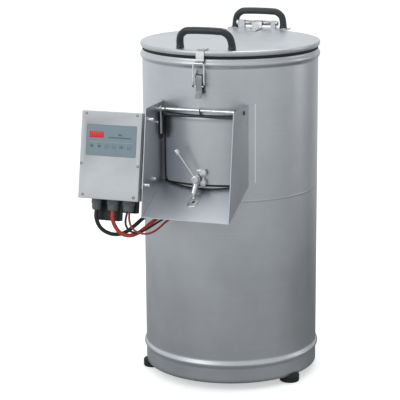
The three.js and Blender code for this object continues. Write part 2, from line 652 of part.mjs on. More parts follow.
const machine = new THREE.Group();
machine.add(casing(), baseRing(), ...feet(), chamberFloor(), drainPipe());
machine.add(lid(), lidRim(), lidSeal(), latchStrike(), hingeLeaf(), handle('front_handle', FRONT_HANDLE_Y, LID_TOP_Z + GAP));
machine.add(hingeBracket(), hingePin(), handle('rear_handle', REAR_HANDLE_Y, 867.8));
machine.add(latchBase(), latchLever(), latchBail());
machine.add(cheek('cheek_left', -1), cheek('cheek_right', 1), chuteFloor(), keeper(), safetySwitch());
machine.add(door(), doorSeal(), switchArm(), doorLatchBody(), doorLatchHandle(), doorLatchCap(), doorBolt());
machine.add(wallLiner(), peelingDisc(), driveShaft(), bearingHousing(), shaftPulley(), driveBelt());
machine.add(motorPulley(), motorMount(), motor());
machine.add(box, ...cables());

// The origin is on the floor, in the middle of everything but the cables.
const extent = new THREE.Box3();
machine.updateMatrixWorld(true);
machine.traverse((piece) => {
  if (piece.isMesh && !piece.name.startsWith('cable')) {
    extent.expandByObject(piece, true);
  }
});
const middle = extent.getCenter(new THREE.Vector3());
machine.position.set(-middle.x, -middle.y, -extent.min.z);

const group = new THREE.Group();
group.add(machine);

export default group;
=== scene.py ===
# %% [markdown]
# # A drum vegetable peeler
#
# The machine is a round steel drum on three feet. Vegetables go in under the hinged lid, a
# rough disc at the bottom of the chamber spins them against a rough wall, and they leave by
# the door in the chute. The mechanical model already holds every size and every joint. This
# script dresses it: each piece is made again with rounded edges and a real finish, and rides
# on the same moving body as the part that it stands for.

# %% Open the frame
import json
import math
from contextlib import contextmanager

import bmesh
import bpy
import numpy as np
from mathutils import Matrix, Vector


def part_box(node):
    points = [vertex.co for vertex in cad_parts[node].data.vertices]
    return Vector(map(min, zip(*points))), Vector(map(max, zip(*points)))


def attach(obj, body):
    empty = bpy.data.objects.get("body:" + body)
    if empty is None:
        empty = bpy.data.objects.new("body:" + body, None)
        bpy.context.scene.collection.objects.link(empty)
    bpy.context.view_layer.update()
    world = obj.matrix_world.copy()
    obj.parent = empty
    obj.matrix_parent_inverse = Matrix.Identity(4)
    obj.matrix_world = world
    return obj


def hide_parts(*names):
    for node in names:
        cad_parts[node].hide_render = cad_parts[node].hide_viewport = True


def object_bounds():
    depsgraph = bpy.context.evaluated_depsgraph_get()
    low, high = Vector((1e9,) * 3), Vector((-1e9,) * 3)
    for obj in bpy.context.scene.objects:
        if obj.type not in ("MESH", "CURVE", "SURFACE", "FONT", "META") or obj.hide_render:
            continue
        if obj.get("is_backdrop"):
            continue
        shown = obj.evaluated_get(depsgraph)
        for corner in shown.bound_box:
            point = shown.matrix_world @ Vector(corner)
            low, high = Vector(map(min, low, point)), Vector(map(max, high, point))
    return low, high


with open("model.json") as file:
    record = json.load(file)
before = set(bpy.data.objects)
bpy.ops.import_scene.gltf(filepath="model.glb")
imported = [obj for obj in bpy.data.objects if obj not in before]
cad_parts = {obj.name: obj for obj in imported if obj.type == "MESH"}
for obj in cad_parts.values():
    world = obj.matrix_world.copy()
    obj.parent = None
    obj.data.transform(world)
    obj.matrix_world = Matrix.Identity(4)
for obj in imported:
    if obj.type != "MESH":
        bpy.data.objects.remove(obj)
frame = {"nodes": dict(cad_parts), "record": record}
cad_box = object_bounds()
BODY_OF = {node: body for body, members in frame["record"]["behaviour"]["bodies"].items()
           for node in members}

# %% [markdown]
# ## One place to measure from
#
# A maker measures this machine from the middle of the drum and from the floor, in
# millimetres. Blender works in metres, and the frame has its own origin, so one small
# function turns the first into the second. The control box leans back on the chute's cheek,
# so it gets its own measures: across, into the box, and up its face. The floor of the chute
# slopes, so its height is a sum too.

# %% Measures
drum_low, drum_high = (np.array(corner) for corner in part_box("casing"))
DRUM_AXIS = np.array([*(drum_low + drum_high)[:2] / 2, 0.0])
LEAN = math.radians(10.83)
BOX_FOOT = np.array([0.0, -344.0, 512.0])
BOX_IN = np.array([0.0, math.cos(LEAN), -math.sin(LEAN)])
BOX_UP = np.array([0.0, math.sin(LEAN), math.cos(LEAN)])
BOX_LEFT, BOX_RIGHT, BOX_LOW, BOX_TALL = -281.1, -123.0, -2.5, 213.0
CHUTE_FRONT, CHUTE_LOW, CHUTE_SLOPE = -352.0, 475.0, 0.389
RING_WELD_Z = 494.0


def place(points):
    """Millimetres from the drum's axis and the floor, as metres in the frame."""
    return DRUM_AXIS + np.asarray(points, float) / 1000


def on_box(points):
    """Points as (across, into the box, up its face), turned to millimetres of the machine."""
    across, deep, up = np.moveaxis(np.asarray(points, float), -1, 0)
    return (BOX_FOOT + across[..., None] * np.array([1.0, 0, 0])
            + deep[..., None] * BOX_IN + up[..., None] * BOX_UP)


def chute_height(y):
    """Height of the chute's sloping floor, in millimetres, at a distance y."""
    return CHUTE_LOW + (y - CHUTE_FRONT) * CHUTE_SLOPE


def shown(name, data):
    """A new object that holds the data, linked to the scene."""
    thing = bpy.data.objects.new(name, data)
    bpy.context.scene.collection.objects.link(thing)
    return thing


print("drum axis at", np.round(DRUM_AXIS[:2], 4), "m")

# %% [markdown]
# ## The camera
#
# The machine is seen from a little above and from its right, with a long lens, so that its
# upright edges stay nearly parallel. A camera looks along its own -Z, so its matrix holds
# the direction to its right, the direction of its up, and the direction back.

# %% Camera
optics = bpy.data.cameras.new("camera")
optics.lens, optics.sensor_width, optics.clip_end = 136.6, 36.0, 200.0
camera = shown("camera", optics)
LOOK = np.array([-0.32608, 0.91637, -0.23222])
ACROSS = np.array([0.94271, 0.33352, -0.00764])
RISE = np.cross(ACROSS, LOOK)
STAND = np.array([1.24518, -3.6235, 1.36826])


def aimed(thing, right, rise, back, spot):
    """Turns and moves a camera or a lamp: its X, Y and Z directions, and its place."""
    matrix = np.eye(4)
    matrix[:3] = np.column_stack([right, rise, back, spot])
    thing.matrix_world = Matrix(matrix.tolist())


aimed(camera, ACROSS, RISE, -LOOK, STAND)
bpy.context.scene.camera = camera
print("camera", round(float(np.linalg.norm(STAND)), 2), "m from the machine")

# %% [markdown]
# ## Shader sums
#
# A material is a graph of nodes, and sums written with nodes are hard to read. A small class
# wraps one socket and gives it Python's operators, so that `1 - mask` adds the Math node
# that works it out. A second class holds a tree and has one method for every other kind of
# node: its type, then its settings, then what goes into its sockets. A third is a tree that
# belongs to one material, with the patterns that several finishes share.


# %% A socket with operators
class Value:
    """A number that changes over the surface. Each operator adds one Math node."""

    def __init__(self, graph, socket):
        self.graph, self.socket = graph, socket

    def sum(self, operation, first, second=0.0):
        return self.graph.node("ShaderNodeMath", {"operation": operation}, {0: first, 1: second})

    def __add__(self, other):
        return self.sum("ADD", self, other)

    def __sub__(self, other):
        return self.sum("SUBTRACT", self, other)

    def __mul__(self, other):
        return self.sum("MULTIPLY", self, other)

    def __truediv__(self, other):
        return self.sum("DIVIDE", self, other)

    def __rsub__(self, other):
        return self.sum("SUBTRACT", other, self)

    __radd__, __rmul__ = __add__, __mul__

    def size(self):
        return self.sum("ABSOLUTE", self)

    def step(self, low, high):
        """0 below low and 1 above high, with a smooth rise between."""
        return self.graph.node(
            "ShaderNodeMapRange", {"interpolation_type": "SMOOTHSTEP"},
            {"Value": self, "From Min": low, "From Max": high})


class Graph:
    """A node tree with one method that adds any kind of node."""

    def __init__(self, tree):
        self.tree = tree

    def node(self, kind, settings=(), sockets=(), output=0):
        """Adds a node: settings first, then a value or a link for each socket."""
        made = self.tree.nodes.new(kind)
        for key, value in dict(settings).items():
            setattr(made, key, value)
        for key, value in dict(sockets).items():
            if isinstance(value, Value):
                self.tree.links.new(value.socket, made.inputs[key])
            else:
                made.inputs[key].default_value = value
        return Value(self, made.outputs[output])

    def blend(self, share, first, second):
        """One colour turning to another. Colours are red, green, blue, in linear light."""
        first, second = (c if isinstance(c, Value) else (*c, 1.0) for c in (first, second))
        return self.node("ShaderNodeMix", {"data_type": "RGBA"},
                         {0: share, 6: first, 7: second}, 2)


# %% A finish
class Finish(Graph):
    """One material: constants on its surface shader, and a graph for what varies."""

    def __init__(self, name, slot, **constants):
        self.material = bpy.data.materials.new(name)
        self.material.use_nodes = True
        super().__init__(self.material.node_tree)
        self.slot = slot
        self.skin = self.tree.nodes["Principled BSDF"]
        for socket, value in constants.items():
            self.skin.inputs[socket.replace("_", " ")].default_value = value
        self.here = self.node("ShaderNodeTexCoord", output="Object")

    def feed(self, **sockets):
        """Links what varies to the surface shader."""
        for socket, value in sockets.items():
            self.tree.links.new(value.socket, self.skin.inputs[socket.replace("_", " ")])

    def moved(self, operation, vector, other):
        return self.node("ShaderNodeVectorMath", {"operation": operation}, {0: vector, 1: other})

    def along(self, direction, origin=(0, 0, 0)):
        """How far the surface is along a direction from an origin, in metres."""
        local = self.moved("SUBTRACT", self.here, tuple(origin))
        return self.node("ShaderNodeVectorMath", {"operation": "DOT_PRODUCT"},
                         {0: local, 1: tuple(direction)}, "Value")

    def clouds(self, *per_metre, detail=2.0, rough=0.5):
        """Soft noise from 0 to 1, with so many lumps a metre along x, y and z."""
        stretched = self.moved("MULTIPLY", self.here, tuple(per_metre))
        return self.node("ShaderNodeTexNoise", (), {
            "Vector": stretched, "Scale": 1.0, "Detail": detail, "Roughness": rough})

    def relief(self, height, distance, strength=1.0):
        """Small height differences, in metres, seen only in the shading."""
        bump = self.node("ShaderNodeBump", (), {
            "Strength": strength, "Distance": distance, "Height": height})
        self.feed(Normal=bump)


print("shader sums ready")

# %% [markdown]
# ## Steel finishes
#
# The drum is satin stainless sheet. Rolling leaves a faint grain round the drum, handling
# leaves cloudy patches, and the patches show as changes of roughness more than of colour.
# The grain is noise squeezed to hundreds of lines a metre in one direction. Polished
# fittings are brighter, with sparse fine scratches.


# %% Satin sheet
def satin_sheet(name, grain=(4, 4, 420), tone=1.0, rough=0.40, seams=(), painted_light=None):
    """Satin sheet with its grain stretched across the large direction of `grain`.
    A seam is (direction, origin, half width, gate): a thin line with a soft heat tint, all
    round or only past the gate. `painted_light` is (direction, low, high, colour): painted light
    and shade, where the sheet turns to another colour between low and high along that direction."""
    f = Finish(name, "steel_sheet", Metallic=1.0)
    lines = f.clouds(*grain, detail=4.0)
    patches = f.clouds(7, 7, 5, detail=4.0, rough=0.6)
    wipes = f.clouds(3, 3, 14, detail=3.0)
    share = patches * 0.65 + wipes * 0.15 + lines * 0.2
    dark = (0.54 * tone, 0.56 * tone, 0.588 * tone)
    light = (0.64 * tone, 0.66 * tone, 0.682 * tone)
    colour = f.blend(share.step(0.3, 0.72), dark, light)
    # Painted light and shade: a band of another colour along one direction.
    if painted_light:
        direction, low, high, other = painted_light
        colour = f.blend(f.along(direction).step(low, high) * 0.75, colour, other)
    height = lines
    for direction, origin, half, gate in seams:
        off = f.along(direction, origin).size()
        side = 1.0 if gate is None else f.along(gate, origin).step(0.0, 0.01)
        tint = (1 - off.step(half, half * 9)) * side
        colour = f.blend(tint * 0.3, colour, (0.52 * tone, 0.52 * tone, 0.51 * tone))
        line = (1 - off.step(half * 0.6, half * 1.4)) * side
        colour = f.blend(line * 0.4, colour, (0.36, 0.36, 0.37))
        height = height - line * 2
    f.feed(Base_Color=colour, Roughness=share * 0.16 + (rough - 0.08) + lines * 0.03)
    f.relief(height, 0.00002, 0.5)
    return f


UP = (0, 0, 1)
drum_steel = satin_sheet("satin_drum", seams=[
    (UP, (0, 0, RING_WELD_Z / 1000), 0.0007, None),
    ((1, 0, 0), tuple(DRUM_AXIS), 0.0012, (0, 1, 0))])
lid_steel = satin_sheet("satin_lid", grain=(420, 5, 60), rough=0.40)
# The right cheek's flange gets a painted highlight: a near-white strip along its outer edge.
cheek_steel = satin_sheet("satin_cheek", grain=(60, 6, 420), tone=0.98, rough=0.38,
                          painted_light=((1, 0, 0), 0.1508, 0.1513, (0.95, 0.95, 0.95)))
# The chute floor is made lighter than the other sheets: painted light on the upward-facing floor.
floor_steel = satin_sheet("satin_chute_floor", grain=(420, 6, 6), tone=1.28, rough=0.42)
# The door sheet darkens towards its top, under the rod: painted shade.
door_steel = satin_sheet("satin_door", rough=0.35, painted_light=(UP, 0.688, 0.708, (0.13, 0.14, 0.14)))
# Near-black steel for the door's flange and lugs: painted shade in the gap under the rod.
painted_shade_steel = satin_sheet("painted_shade_flange", tone=0.22, rough=0.55)
plate_steel = satin_sheet("satin_plate", grain=(5, 60, 420), rough=0.36)
print("satin sheet:", drum_steel.material.name)


# %% Bright fittings and castings
def bright_fitting(name, tone=1.0, rough=0.2):
    """Polished stainless: clean colour, sparse scratches in two directions."""
    f = Finish(name, "bright_steel", Metallic=1.0)
    scratches = f.clouds(30, 700, 90, detail=3.0).step(0.56, 0.7)
    crossing = f.clouds(600, 40, 500, detail=3.0).step(0.6, 0.72)
    handled = f.clouds(60, 60, 60, detail=3.0)
    colour = f.blend(handled.step(0.3, 0.7), (0.70 * tone, 0.71 * tone, 0.72 * tone),
                     (0.84 * tone, 0.845 * tone, 0.85 * tone))
    f.feed(Base_Color=colour, Roughness=handled * 0.1 + (rough - 0.05) + scratches * 0.08)
    f.relief(scratches + crossing, 0.00002, 0.4)
    return f


bright = bright_fitting("bright_fitting")
satin_bright = bright_fitting("satin_fitting", tone=0.80, rough=0.34)
dark_bright = bright_fitting("dark_bright", tone=0.50, rough=0.22)
latch_bright = bright_fitting("latch_bright", tone=0.94, rough=0.24)


def lever_finish():
    """Dark satin steel whose last centimetre is near white: a painted highlight on the tip."""
    f = Finish("latch_lever", "bright_steel", Metallic=1.0)
    handled = f.clouds(60, 60, 60, detail=3.0)
    # Painted highlight: the colour turns near white above 753 mm.
    tip = 1 - f.along((0, 0, 1), (0, 0, 0.753)).step(0.0, 0.004)
    dark = f.blend(handled, (0.26, 0.27, 0.28), (0.36, 0.37, 0.38))
    f.feed(Base_Color=f.blend(tip, dark, (0.95, 0.95, 0.95)), Roughness=handled * 0.1 + 0.26)
    f.relief(handled, 0.00002, 0.4)
    return f


def cast_paint():
    """Hammered paint on castings: shallow cells, with bare metal showing through little."""
    f = Finish("hammered_cast", "cast_grey", Metallic=0.35, Coat_Weight=0.25)
    cells = f.node("ShaderNodeTexVoronoi", {"feature": "SMOOTH_F1"},
                   {"Vector": f.here, "Scale": 320.0}, "Distance")
    dirt = f.clouds(18, 18, 18, detail=4.0)
    colour = f.blend(cells * 0.5 + dirt * 0.5, (0.075, 0.085, 0.095), (0.15, 0.165, 0.18))
    f.feed(Base_Color=colour, Roughness=dirt * 0.25 + 0.35)
    f.relief(cells, 0.0003, 0.6)
    return f


cast = cast_paint()
print("fittings:", bright.material.name, cast.material.name)

# %% [markdown]
# ## Plastics, rubber and grit
#
# Moulded plastic has a fine spark-eroded texture and wears glossy where hands hold it.
# Rubber is matt and a little dusty. The disc and the wall of the chamber are covered with
# hard grit in resin: every grain is a cell with its own height and its own grey.


# %% Moulded plastics
def moulded(name, slot, dark, light, rough, texture=900.0, depth=0.00004):
    """Plastic or rubber between two near colours, with a fine texture and soft wear."""
    f = Finish(name, slot)
    pores = f.node("ShaderNodeTexNoise", (), {"Vector": f.here, "Scale": texture, "Detail": 2.0})
    rubbed = f.clouds(14, 14, 14, detail=4.0, rough=0.6)
    colour = f.blend((rubbed * 0.8 + pores * 0.2).step(0.25, 0.75), dark, light)
    f.feed(Base_Color=colour, Roughness=rubbed * 0.24 + (rough - 0.12) + pores * 0.04)
    f.relief(pores, depth, 0.7)
    return f


handle_plastic = moulded(
    "handle_plastic", "handle_black", (0.018, 0.023, 0.025), (0.028, 0.034, 0.036), 0.34)
switch_plastic = moulded(
    "switch_plastic", "switch_black", (0.008, 0.010, 0.011), (0.016, 0.019, 0.020), 0.42)
rubber = moulded(
    "rubber", "rubber_black", (0.008, 0.009, 0.009), (0.020, 0.021, 0.021), 0.68, 500.0, 0.0001)
box_plastic = moulded(
    "box_plastic", "box_grey", (0.55, 0.57, 0.595), (0.61, 0.625, 0.64), 0.46, 420.0)
gland_plastic = moulded(
    "gland_plastic", "gland_grey", (0.105, 0.125, 0.13), (0.15, 0.172, 0.178), 0.45)
sheath_black = moulded(
    "sheath_black", "cable_black", (0.008, 0.012, 0.014), (0.016, 0.021, 0.024), 0.36, 700.0)
sheath_red = moulded(
    "sheath_red", "cable_red", (0.50, 0.040, 0.020), (0.62, 0.060, 0.032), 0.36, 700.0)
sheath_dark_red = moulded(
    "sheath_dark_red", "cable_red", (0.33, 0.035, 0.032), (0.42, 0.052, 0.045), 0.38, 700.0)


def grit_coat(name, tone):
    """Grains set in resin: every cell has its own grey, and its middle stands highest."""
    f = Finish(name, "abrasive_grit")
    cell = {"Vector": f.here, "Scale": 520.0}
    shade = f.node("ShaderNodeTexVoronoi", (), cell, "Color")
    height = f.node("ShaderNodeTexVoronoi", (), cell, "Distance")
    worn = f.clouds(12, 12, 12, detail=3.0)
    grey = f.node("ShaderNodeSeparateColor", (), {"Color": shade})
    colour = f.blend(grey * 0.7 + worn * 0.3, (0.02 * tone, 0.02 * tone, 0.019 * tone),
                     (0.16 * tone, 0.155 * tone, 0.145 * tone))
    f.feed(Base_Color=colour, Roughness=grey * 0.3 + 0.55)
    f.relief(1 - height, 0.0012, 0.9)
    return f


disc_grit = grit_coat("disc_grit", 1.0)
wall_grit = grit_coat("wall_grit", 1.3)
print("plastics and grit ready")

# %% [markdown]
# ## Surfaces from arrays
#
# Nearly every piece is one of two kinds of surface. A turned piece is an outline swept round
# an axis, and a carried piece is a section moved along a path. Both are a grid of points that
# numpy works out at once from two parameters. The grid's neighbours are then joined by faces.


# %% Grids of points
def quads(rows, columns, round_rows=False, round_columns=True):
    """The four corners of each face of a grid: (i, j), (i, j+1), (i+1, j+1), (i+1, j).
    A direction that goes round joins its last line to its first."""
    i, j = np.meshgrid(np.arange(rows - (not round_rows)), np.arange(columns - (not round_columns)),
                       indexing="ij")
    i2, j2 = (i + 1) % rows, (j + 1) % columns
    return np.stack([i * columns + j, i * columns + j2, i2 * columns + j2, i2 * columns + j],
                    -1).reshape(-1, 4)


def unit(vector):
    return vector / np.linalg.norm(vector, axis=-1, keepdims=True)


def turned(outline, at=(0, 0, 0), axis=(0, 0, 1), steps=48, shape=None, round_rows=False):
    """Point = at + r(s)·shape(a)·(cos a·side + sin a·other) + h(s)·axis, for every
    (r, h) of the outline and every angle a. A radius of 0 closes a pole."""
    outline, axis = np.asarray(outline, float), unit(np.asarray(axis, float))
    side = unit(np.cross(axis, [0, 1, 0] if abs(axis[1]) < 0.9 else [1, 0, 0]))
    other = np.cross(axis, side)
    a = np.linspace(0, 2 * np.pi, steps, endpoint=False)
    swell = np.ones(steps) if shape is None else shape(a)
    ray = swell[:, None] * (np.cos(a)[:, None] * side + np.sin(a)[:, None] * other)
    r, h = outline.T[:, :, None, None]
    points = np.asarray(at, float) + r * ray + h * axis
    return points.reshape(-1, 3), quads(len(outline), steps, round_rows)


def six_sided(a):
    """A hexagon's edge in polar form: cos 30° over cos of the angle from the flat's middle."""
    return math.cos(math.pi / 6) / np.cos((a + np.pi / 6) % (np.pi / 3) - np.pi / 6)


def carried(path, radius, steps=20, up=(0, 0, 1)):
    """Point = path(s) + radius(s)·(cos a·side + sin a·over), where side stands square
    to the path and to `up`. The ends are closed by a last ring of radius 0."""
    path = np.asarray(path, float)
    radius = np.broadcast_to(np.asarray(radius, float), len(path))
    way = unit(np.gradient(path, axis=0))
    side = unit(np.cross(way, up))
    over = np.cross(side, way)
    path = np.concatenate([path[:1], path, path[-1:]])
    side, over = (np.concatenate([v[:1], v, v[-1:]]) for v in (side, over))
    radius = np.concatenate([[0], radius, [0]])[:, None, None]
    a = np.linspace(0, 2 * np.pi, steps, endpoint=False)[:, None]
    points = path[:, None] + radius * (np.cos(a) * side[:, None] + np.sin(a) * over[:, None])
    return points.reshape(-1, 3), quads(len(path), steps)


def smooth_route(points, steps):
    """A centripetal Catmull-Rom curve: between two points, a cubic whose ends have the
    slopes given by the neighbours, spaced by the square root of their distances."""
    p = np.asarray(points, float)
    p = np.concatenate([[2 * p[0] - p[1]], p, [2 * p[-1] - p[-2]]])
    gap = np.sqrt(np.linalg.norm(np.diff(p, axis=0), axis=1))[:, None]
    slope = np.diff(p, axis=0) / gap
    wide = (p[2:] - p[:-2]) / (gap[1:] + gap[:-1])
    tangent = slope[:-1] - wide + slope[1:]
    start, end = p[1:-2, None], p[2:-1, None]
    first, last = (tangent[:-1] * gap[1:-1])[:, None], (tangent[1:] * gap[1:-1])[:, None]
    t = np.linspace(0, 1, steps, endpoint=False)[None, :, None]
    curve = (start * (2 * t**3 - 3 * t**2 + 1) + first * (t**3 - 2 * t**2 + t)
             + end * (3 * t**2 - 2 * t**3) + last * (t**3 - t**2))
    return np.concatenate([curve.reshape(-1, 3), p[-2:-1]])


def four_corners(steps):
    """The angles of a quarter turn at each corner of a rectangle, and that corner's signs."""
    a = np.concatenate([np.linspace(k * np.pi / 2, (k + 1) * np.pi / 2, steps) for k in range(4)])
    return a, np.repeat([1, -1, -1, 1], steps), np.repeat([1, 1, -1, -1], steps)


def slab(outline, low, high):
    """A flat outline of (y, z) points carried along x from low to high, with both ends filled."""
    outline = np.asarray(outline, float)
    count = len(outline)
    ends = [np.column_stack([np.full(count, x), outline]) for x in (low, high)]
    sides = quads(2, count)
    caps = [list(range(count)), list(range(count, 2 * count))]
    return np.concatenate(ends), [*sides.tolist(), *caps]


def rounded_block(low, high, corner, steps=5):
    """A block with round edges, as a grid of two angles: each point of a small ball goes to
    the corner of the inner block on its own side."""
    low, high = np.asarray(low, float), np.asarray(high, float)
    a, sx, sy = four_corners(steps)
    quarter = np.linspace(0, np.pi / 2, steps)
    b = np.concatenate([quarter - np.pi / 2, quarter])
    sz = np.repeat([-1, 1], steps)
    middle, half = (low + high) / 2, (high - low) / 2 - corner
    x = middle[0] + half[0] * sx + corner * np.cos(b)[:, None] * np.cos(a)
    y = middle[1] + half[1] * sy + corner * np.cos(b)[:, None] * np.sin(a)
    z = middle[2] + half[2] * sz[:, None] + corner * np.sin(b)[:, None] + 0 * a
    points = np.stack([x, y, z], -1).reshape(-1, 3)
    rows, columns = len(b), len(a)
    caps = [list(range(columns)), list(range((rows - 1) * columns, rows * columns))]
    return points, [*quads(rows, columns).tolist(), *caps]


print("grid tools ready")

# %% [markdown]
# ## Making a piece
#
# Every piece is finished in the same way: its shells go into one mesh, doubled points are
# merged, the faces are turned outwards, and an edge stays sharp only where its faces meet at
# more than an angle. The piece then gets its finish, rides on its body, and hides the plain
# node that it stands for. A flat-sided node is copied instead, and its edges get rounded.

# %% Piece makers
SHARP, MERGED = math.radians(34), 1e-6
made = []


@contextmanager
def opened(mesh):
    """Opens a mesh for bmesh steps with its doubled points merged, and saves it at the end."""
    work = bmesh.new()
    work.from_mesh(mesh)
    bmesh.ops.remove_doubles(work, verts=work.verts, dist=MERGED)
    yield work
    work.to_mesh(mesh)
    work.free()


def finished(piece, finish, nodes, body=None, bevel=None, thick=None, where=None):
    """Gives a piece its finish, body and replaced nodes, and its last modifiers."""
    nodes = [nodes] if isinstance(nodes, str) else nodes
    mesh = piece.data
    mesh.materials.clear()
    mesh.materials.append(finish.material)
    mesh.polygons.foreach_set("use_smooth", np.ones(len(mesh.polygons), bool))
    mesh.set_sharp_from_angle(angle=SHARP)
    if thick:
        wall = piece.modifiers.new("wall", "SOLIDIFY")
        wall.thickness, wall.offset, wall.use_even_offset = thick / 1000, -1.0, True
    if bevel:
        edge = piece.modifiers.new("edges", "BEVEL")
        edge.width, edge.segments = bevel / 1000, 3
        edge.limit_method, edge.angle_limit = "ANGLE", SHARP
        edge.use_clamp_overlap, edge.harden_normals = True, True
        if where is not None:
            edge.limit_method = "WEIGHT"
            weights = mesh.attributes.new("bevel_weight_edge", "FLOAT", "EDGE")
            weights.data.foreach_set("value", where.astype(np.float32))
    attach(piece, body or BODY_OF[nodes[0]])
    if nodes and nodes[0] in BODY_OF:
        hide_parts(*nodes)
    made.append(piece.name)
    return piece


def build(name, shells, finish, nodes=(), body=None, open_sheet=False, **last):
    """Puts shells, each (points in machine millimetres, faces), into one mesh."""
    points, faces, count = [], [], 0
    for corners, corner_faces in shells:
        points.append(corners)
        faces += [[int(k) + count for k in face] for face in corner_faces]
        count += len(corners)
    mesh = bpy.data.meshes.new(name)
    mesh.from_pydata(place(np.concatenate(points)).tolist(), [], faces)
    with opened(mesh) as work:
        bmesh.ops.dissolve_degenerate(work, edges=work.edges, dist=MERGED / 10)
        if not open_sheet:
            bmesh.ops.recalc_face_normals(work, faces=work.faces)
    return finished(shown(name, mesh), finish, nodes, body, **last)


def softened(node, finish, bevel=0.5, outer=None):
    """A copy of a flat-sided node with its triangles joined to whole faces and its edges
    rounded. `outer` says which points belong to the edges to be rounded."""
    mesh = frame["nodes"][node].data.copy()
    with opened(mesh) as work:
        bmesh.ops.dissolve_limit(work, angle_limit=math.radians(2), verts=work.verts,
                                 edges=work.edges)
    where = None
    if outer is not None:
        corners = np.zeros(len(mesh.vertices) * 3)
        mesh.vertices.foreach_get("co", corners)
        chosen = outer(1000 * (corners.reshape(-1, 3) - DRUM_AXIS))
        ends = np.zeros(len(mesh.edges) * 2, int)
        mesh.edges.foreach_get("vertices", ends)
        where = chosen[ends].reshape(-1, 2).all(1)
    return finished(shown(node + "_finished", mesh), finish, node, bevel=bevel, where=where)


print("piece makers ready")

# %% [markdown]
# ## Four cables
#
# The cables leave the glands under the control box, hang in tight bows and go into the drum
# behind the chute. Two are mains leads in stiff sheaths and two are thin control leads. Each
# is one open curve through listed points with a round bevel, which keeps the real length
# known: a curve can be measured, and a sculpted tube can't. Only the short way behind the
# chute is out of sight, so a cable's length is what its route measures.

# %% Cable routes
GLAND_IN = 40.0


def from_gland(across, *downs):
    """Points on a gland's axis, at distances up the box face (negative is below it)."""
    return [tuple(on_box([[across, GLAND_IN, down]])[0]) for down in downs]


ROUTES = {
    "cable_black_thick": (5.0, sheath_black, from_gland(-247, 4, -14, -34) + [
        (-247.5, -313, 460), (-245.5, -312, 445), (-240, -308, 430), (-230, -302, 418),
        (-213, -295, 410), (-195, -287, 409.5), (-178, -278, 416.5), (-163, -267, 429),
        (-148, -254, 444), (-133, -240, 457), (-118, -225, 466), (-104, -208, 470.5),
        (-92, -187, 471)]),
    "cable_red_thick": (5.0, sheath_red, from_gland(-203, 4, -14, -34) + [
        (-203, -314, 460), (-201, -314, 446), (-196, -312, 433), (-188, -309, 421),
        (-176, -305, 413.5), (-161, -299, 411.5), (-147, -290, 416), (-134, -278, 425.5),
        (-121, -264, 437.5), (-107, -249, 450), (-93, -233, 460), (-80, -214, 467),
        (-69, -192, 469)]),
    "cable_black_thin": (2.7, sheath_black, from_gland(-165, 4, -14, -32) + [
        (-167, -313.5, 461), (-168.5, -314, 449), (-167, -314, 439), (-161.5, -313.5, 430),
        (-153, -312.5, 424.5), (-142, -310.5, 422.5), (-130, -306, 425), (-119, -299, 430.5),
        (-110, -290, 436.5), (-101, -279, 442.5), (-91, -266, 449), (-80, -251, 455.5),
        (-69, -236, 461), (-59, -219, 465.5), (-50, -197, 468)]),
    "cable_red_thin": (2.7, sheath_dark_red, from_gland(-159, 4, -14, -32) + [
        (-158.5, -314.5, 461), (-156, -317, 449), (-150.5, -319.5, 439), (-141, -321.5, 431),
        (-129, -322.5, 426.5), (-115.5, -322, 425), (-102, -318.5, 427), (-91.5, -311, 432),
        (-84, -299, 438.5), (-78, -284, 445.5), (-70, -268, 452.5), (-60, -252, 460),
        (-50, -237, 466.5), (-41, -220, 472), (-33, -199, 475)]),
}


def lay_cable(node, radius, finish, points):
    """One open curve through the route, with a round bevel and closed ends."""
    route = place(smooth_route(points, 6))
    curve = bpy.data.curves.new(node + "_lead", "CURVE")
    curve.dimensions, curve.bevel_depth, curve.bevel_resolution = "3D", radius / 1000, 5
    curve.use_fill_caps = True
    line = curve.splines.new("POLY")
    line.points.add(len(route) - 1)
    line.points.foreach_set("co", np.column_stack([route, np.ones(len(route))]).ravel())
    line.use_smooth = True
    lead = shown(node + "_lead", curve)
    curve.materials.append(finish.material)
    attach(lead, "machine")
    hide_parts(node)
    length = float(np.linalg.norm(np.diff(route, axis=0), axis=1).sum())
    2 * radius / 1000
    print(f"{node}: {length:.4f} m measured")


for node, (radius, finish, points) in ROUTES.items():
    lay_cable(node, radius, finish, points)

# %% [markdown]
# ## The drum
#
# The casing is one sheet rolled to a tube. Two swaged beads stiffen it, a ring weld crosses
# it at the chamber floor, and an upright weld closes it at the back. Swaging gives a round
# crest with soft feet, so the bead's height follows a raised cosine. The sheet is a grid of
# angle and height, with a doorway left out of it, and Solidify gives it its 2 mm wall.

# %% Casing
DRUM_R, NECK_Z, SKIRT_Z = 225.0, 847.0, 20.0
BEAD_TALL, BEAD_HALF, BEADS = 5.1, 10.0, (68.0, 834.0)
DOOR_HALF_W, DOOR_Z = 97.0, (543.0, 701.0)
DOOR_STEPS, ROUND_STEPS = 36, 252


def bead_height(z):
    """The sum over both beads of tall · (half + half·cos(pi·t)) to the power 0.62, where t
    is the distance from the bead's middle over its half height, up to 1."""
    t = np.clip(np.abs(z[:, None] - np.array(BEADS)) / BEAD_HALF, 0, 1)
    return (BEAD_TALL * (0.5 + 0.5 * np.cos(np.pi * t)) ** 0.62).sum(1)


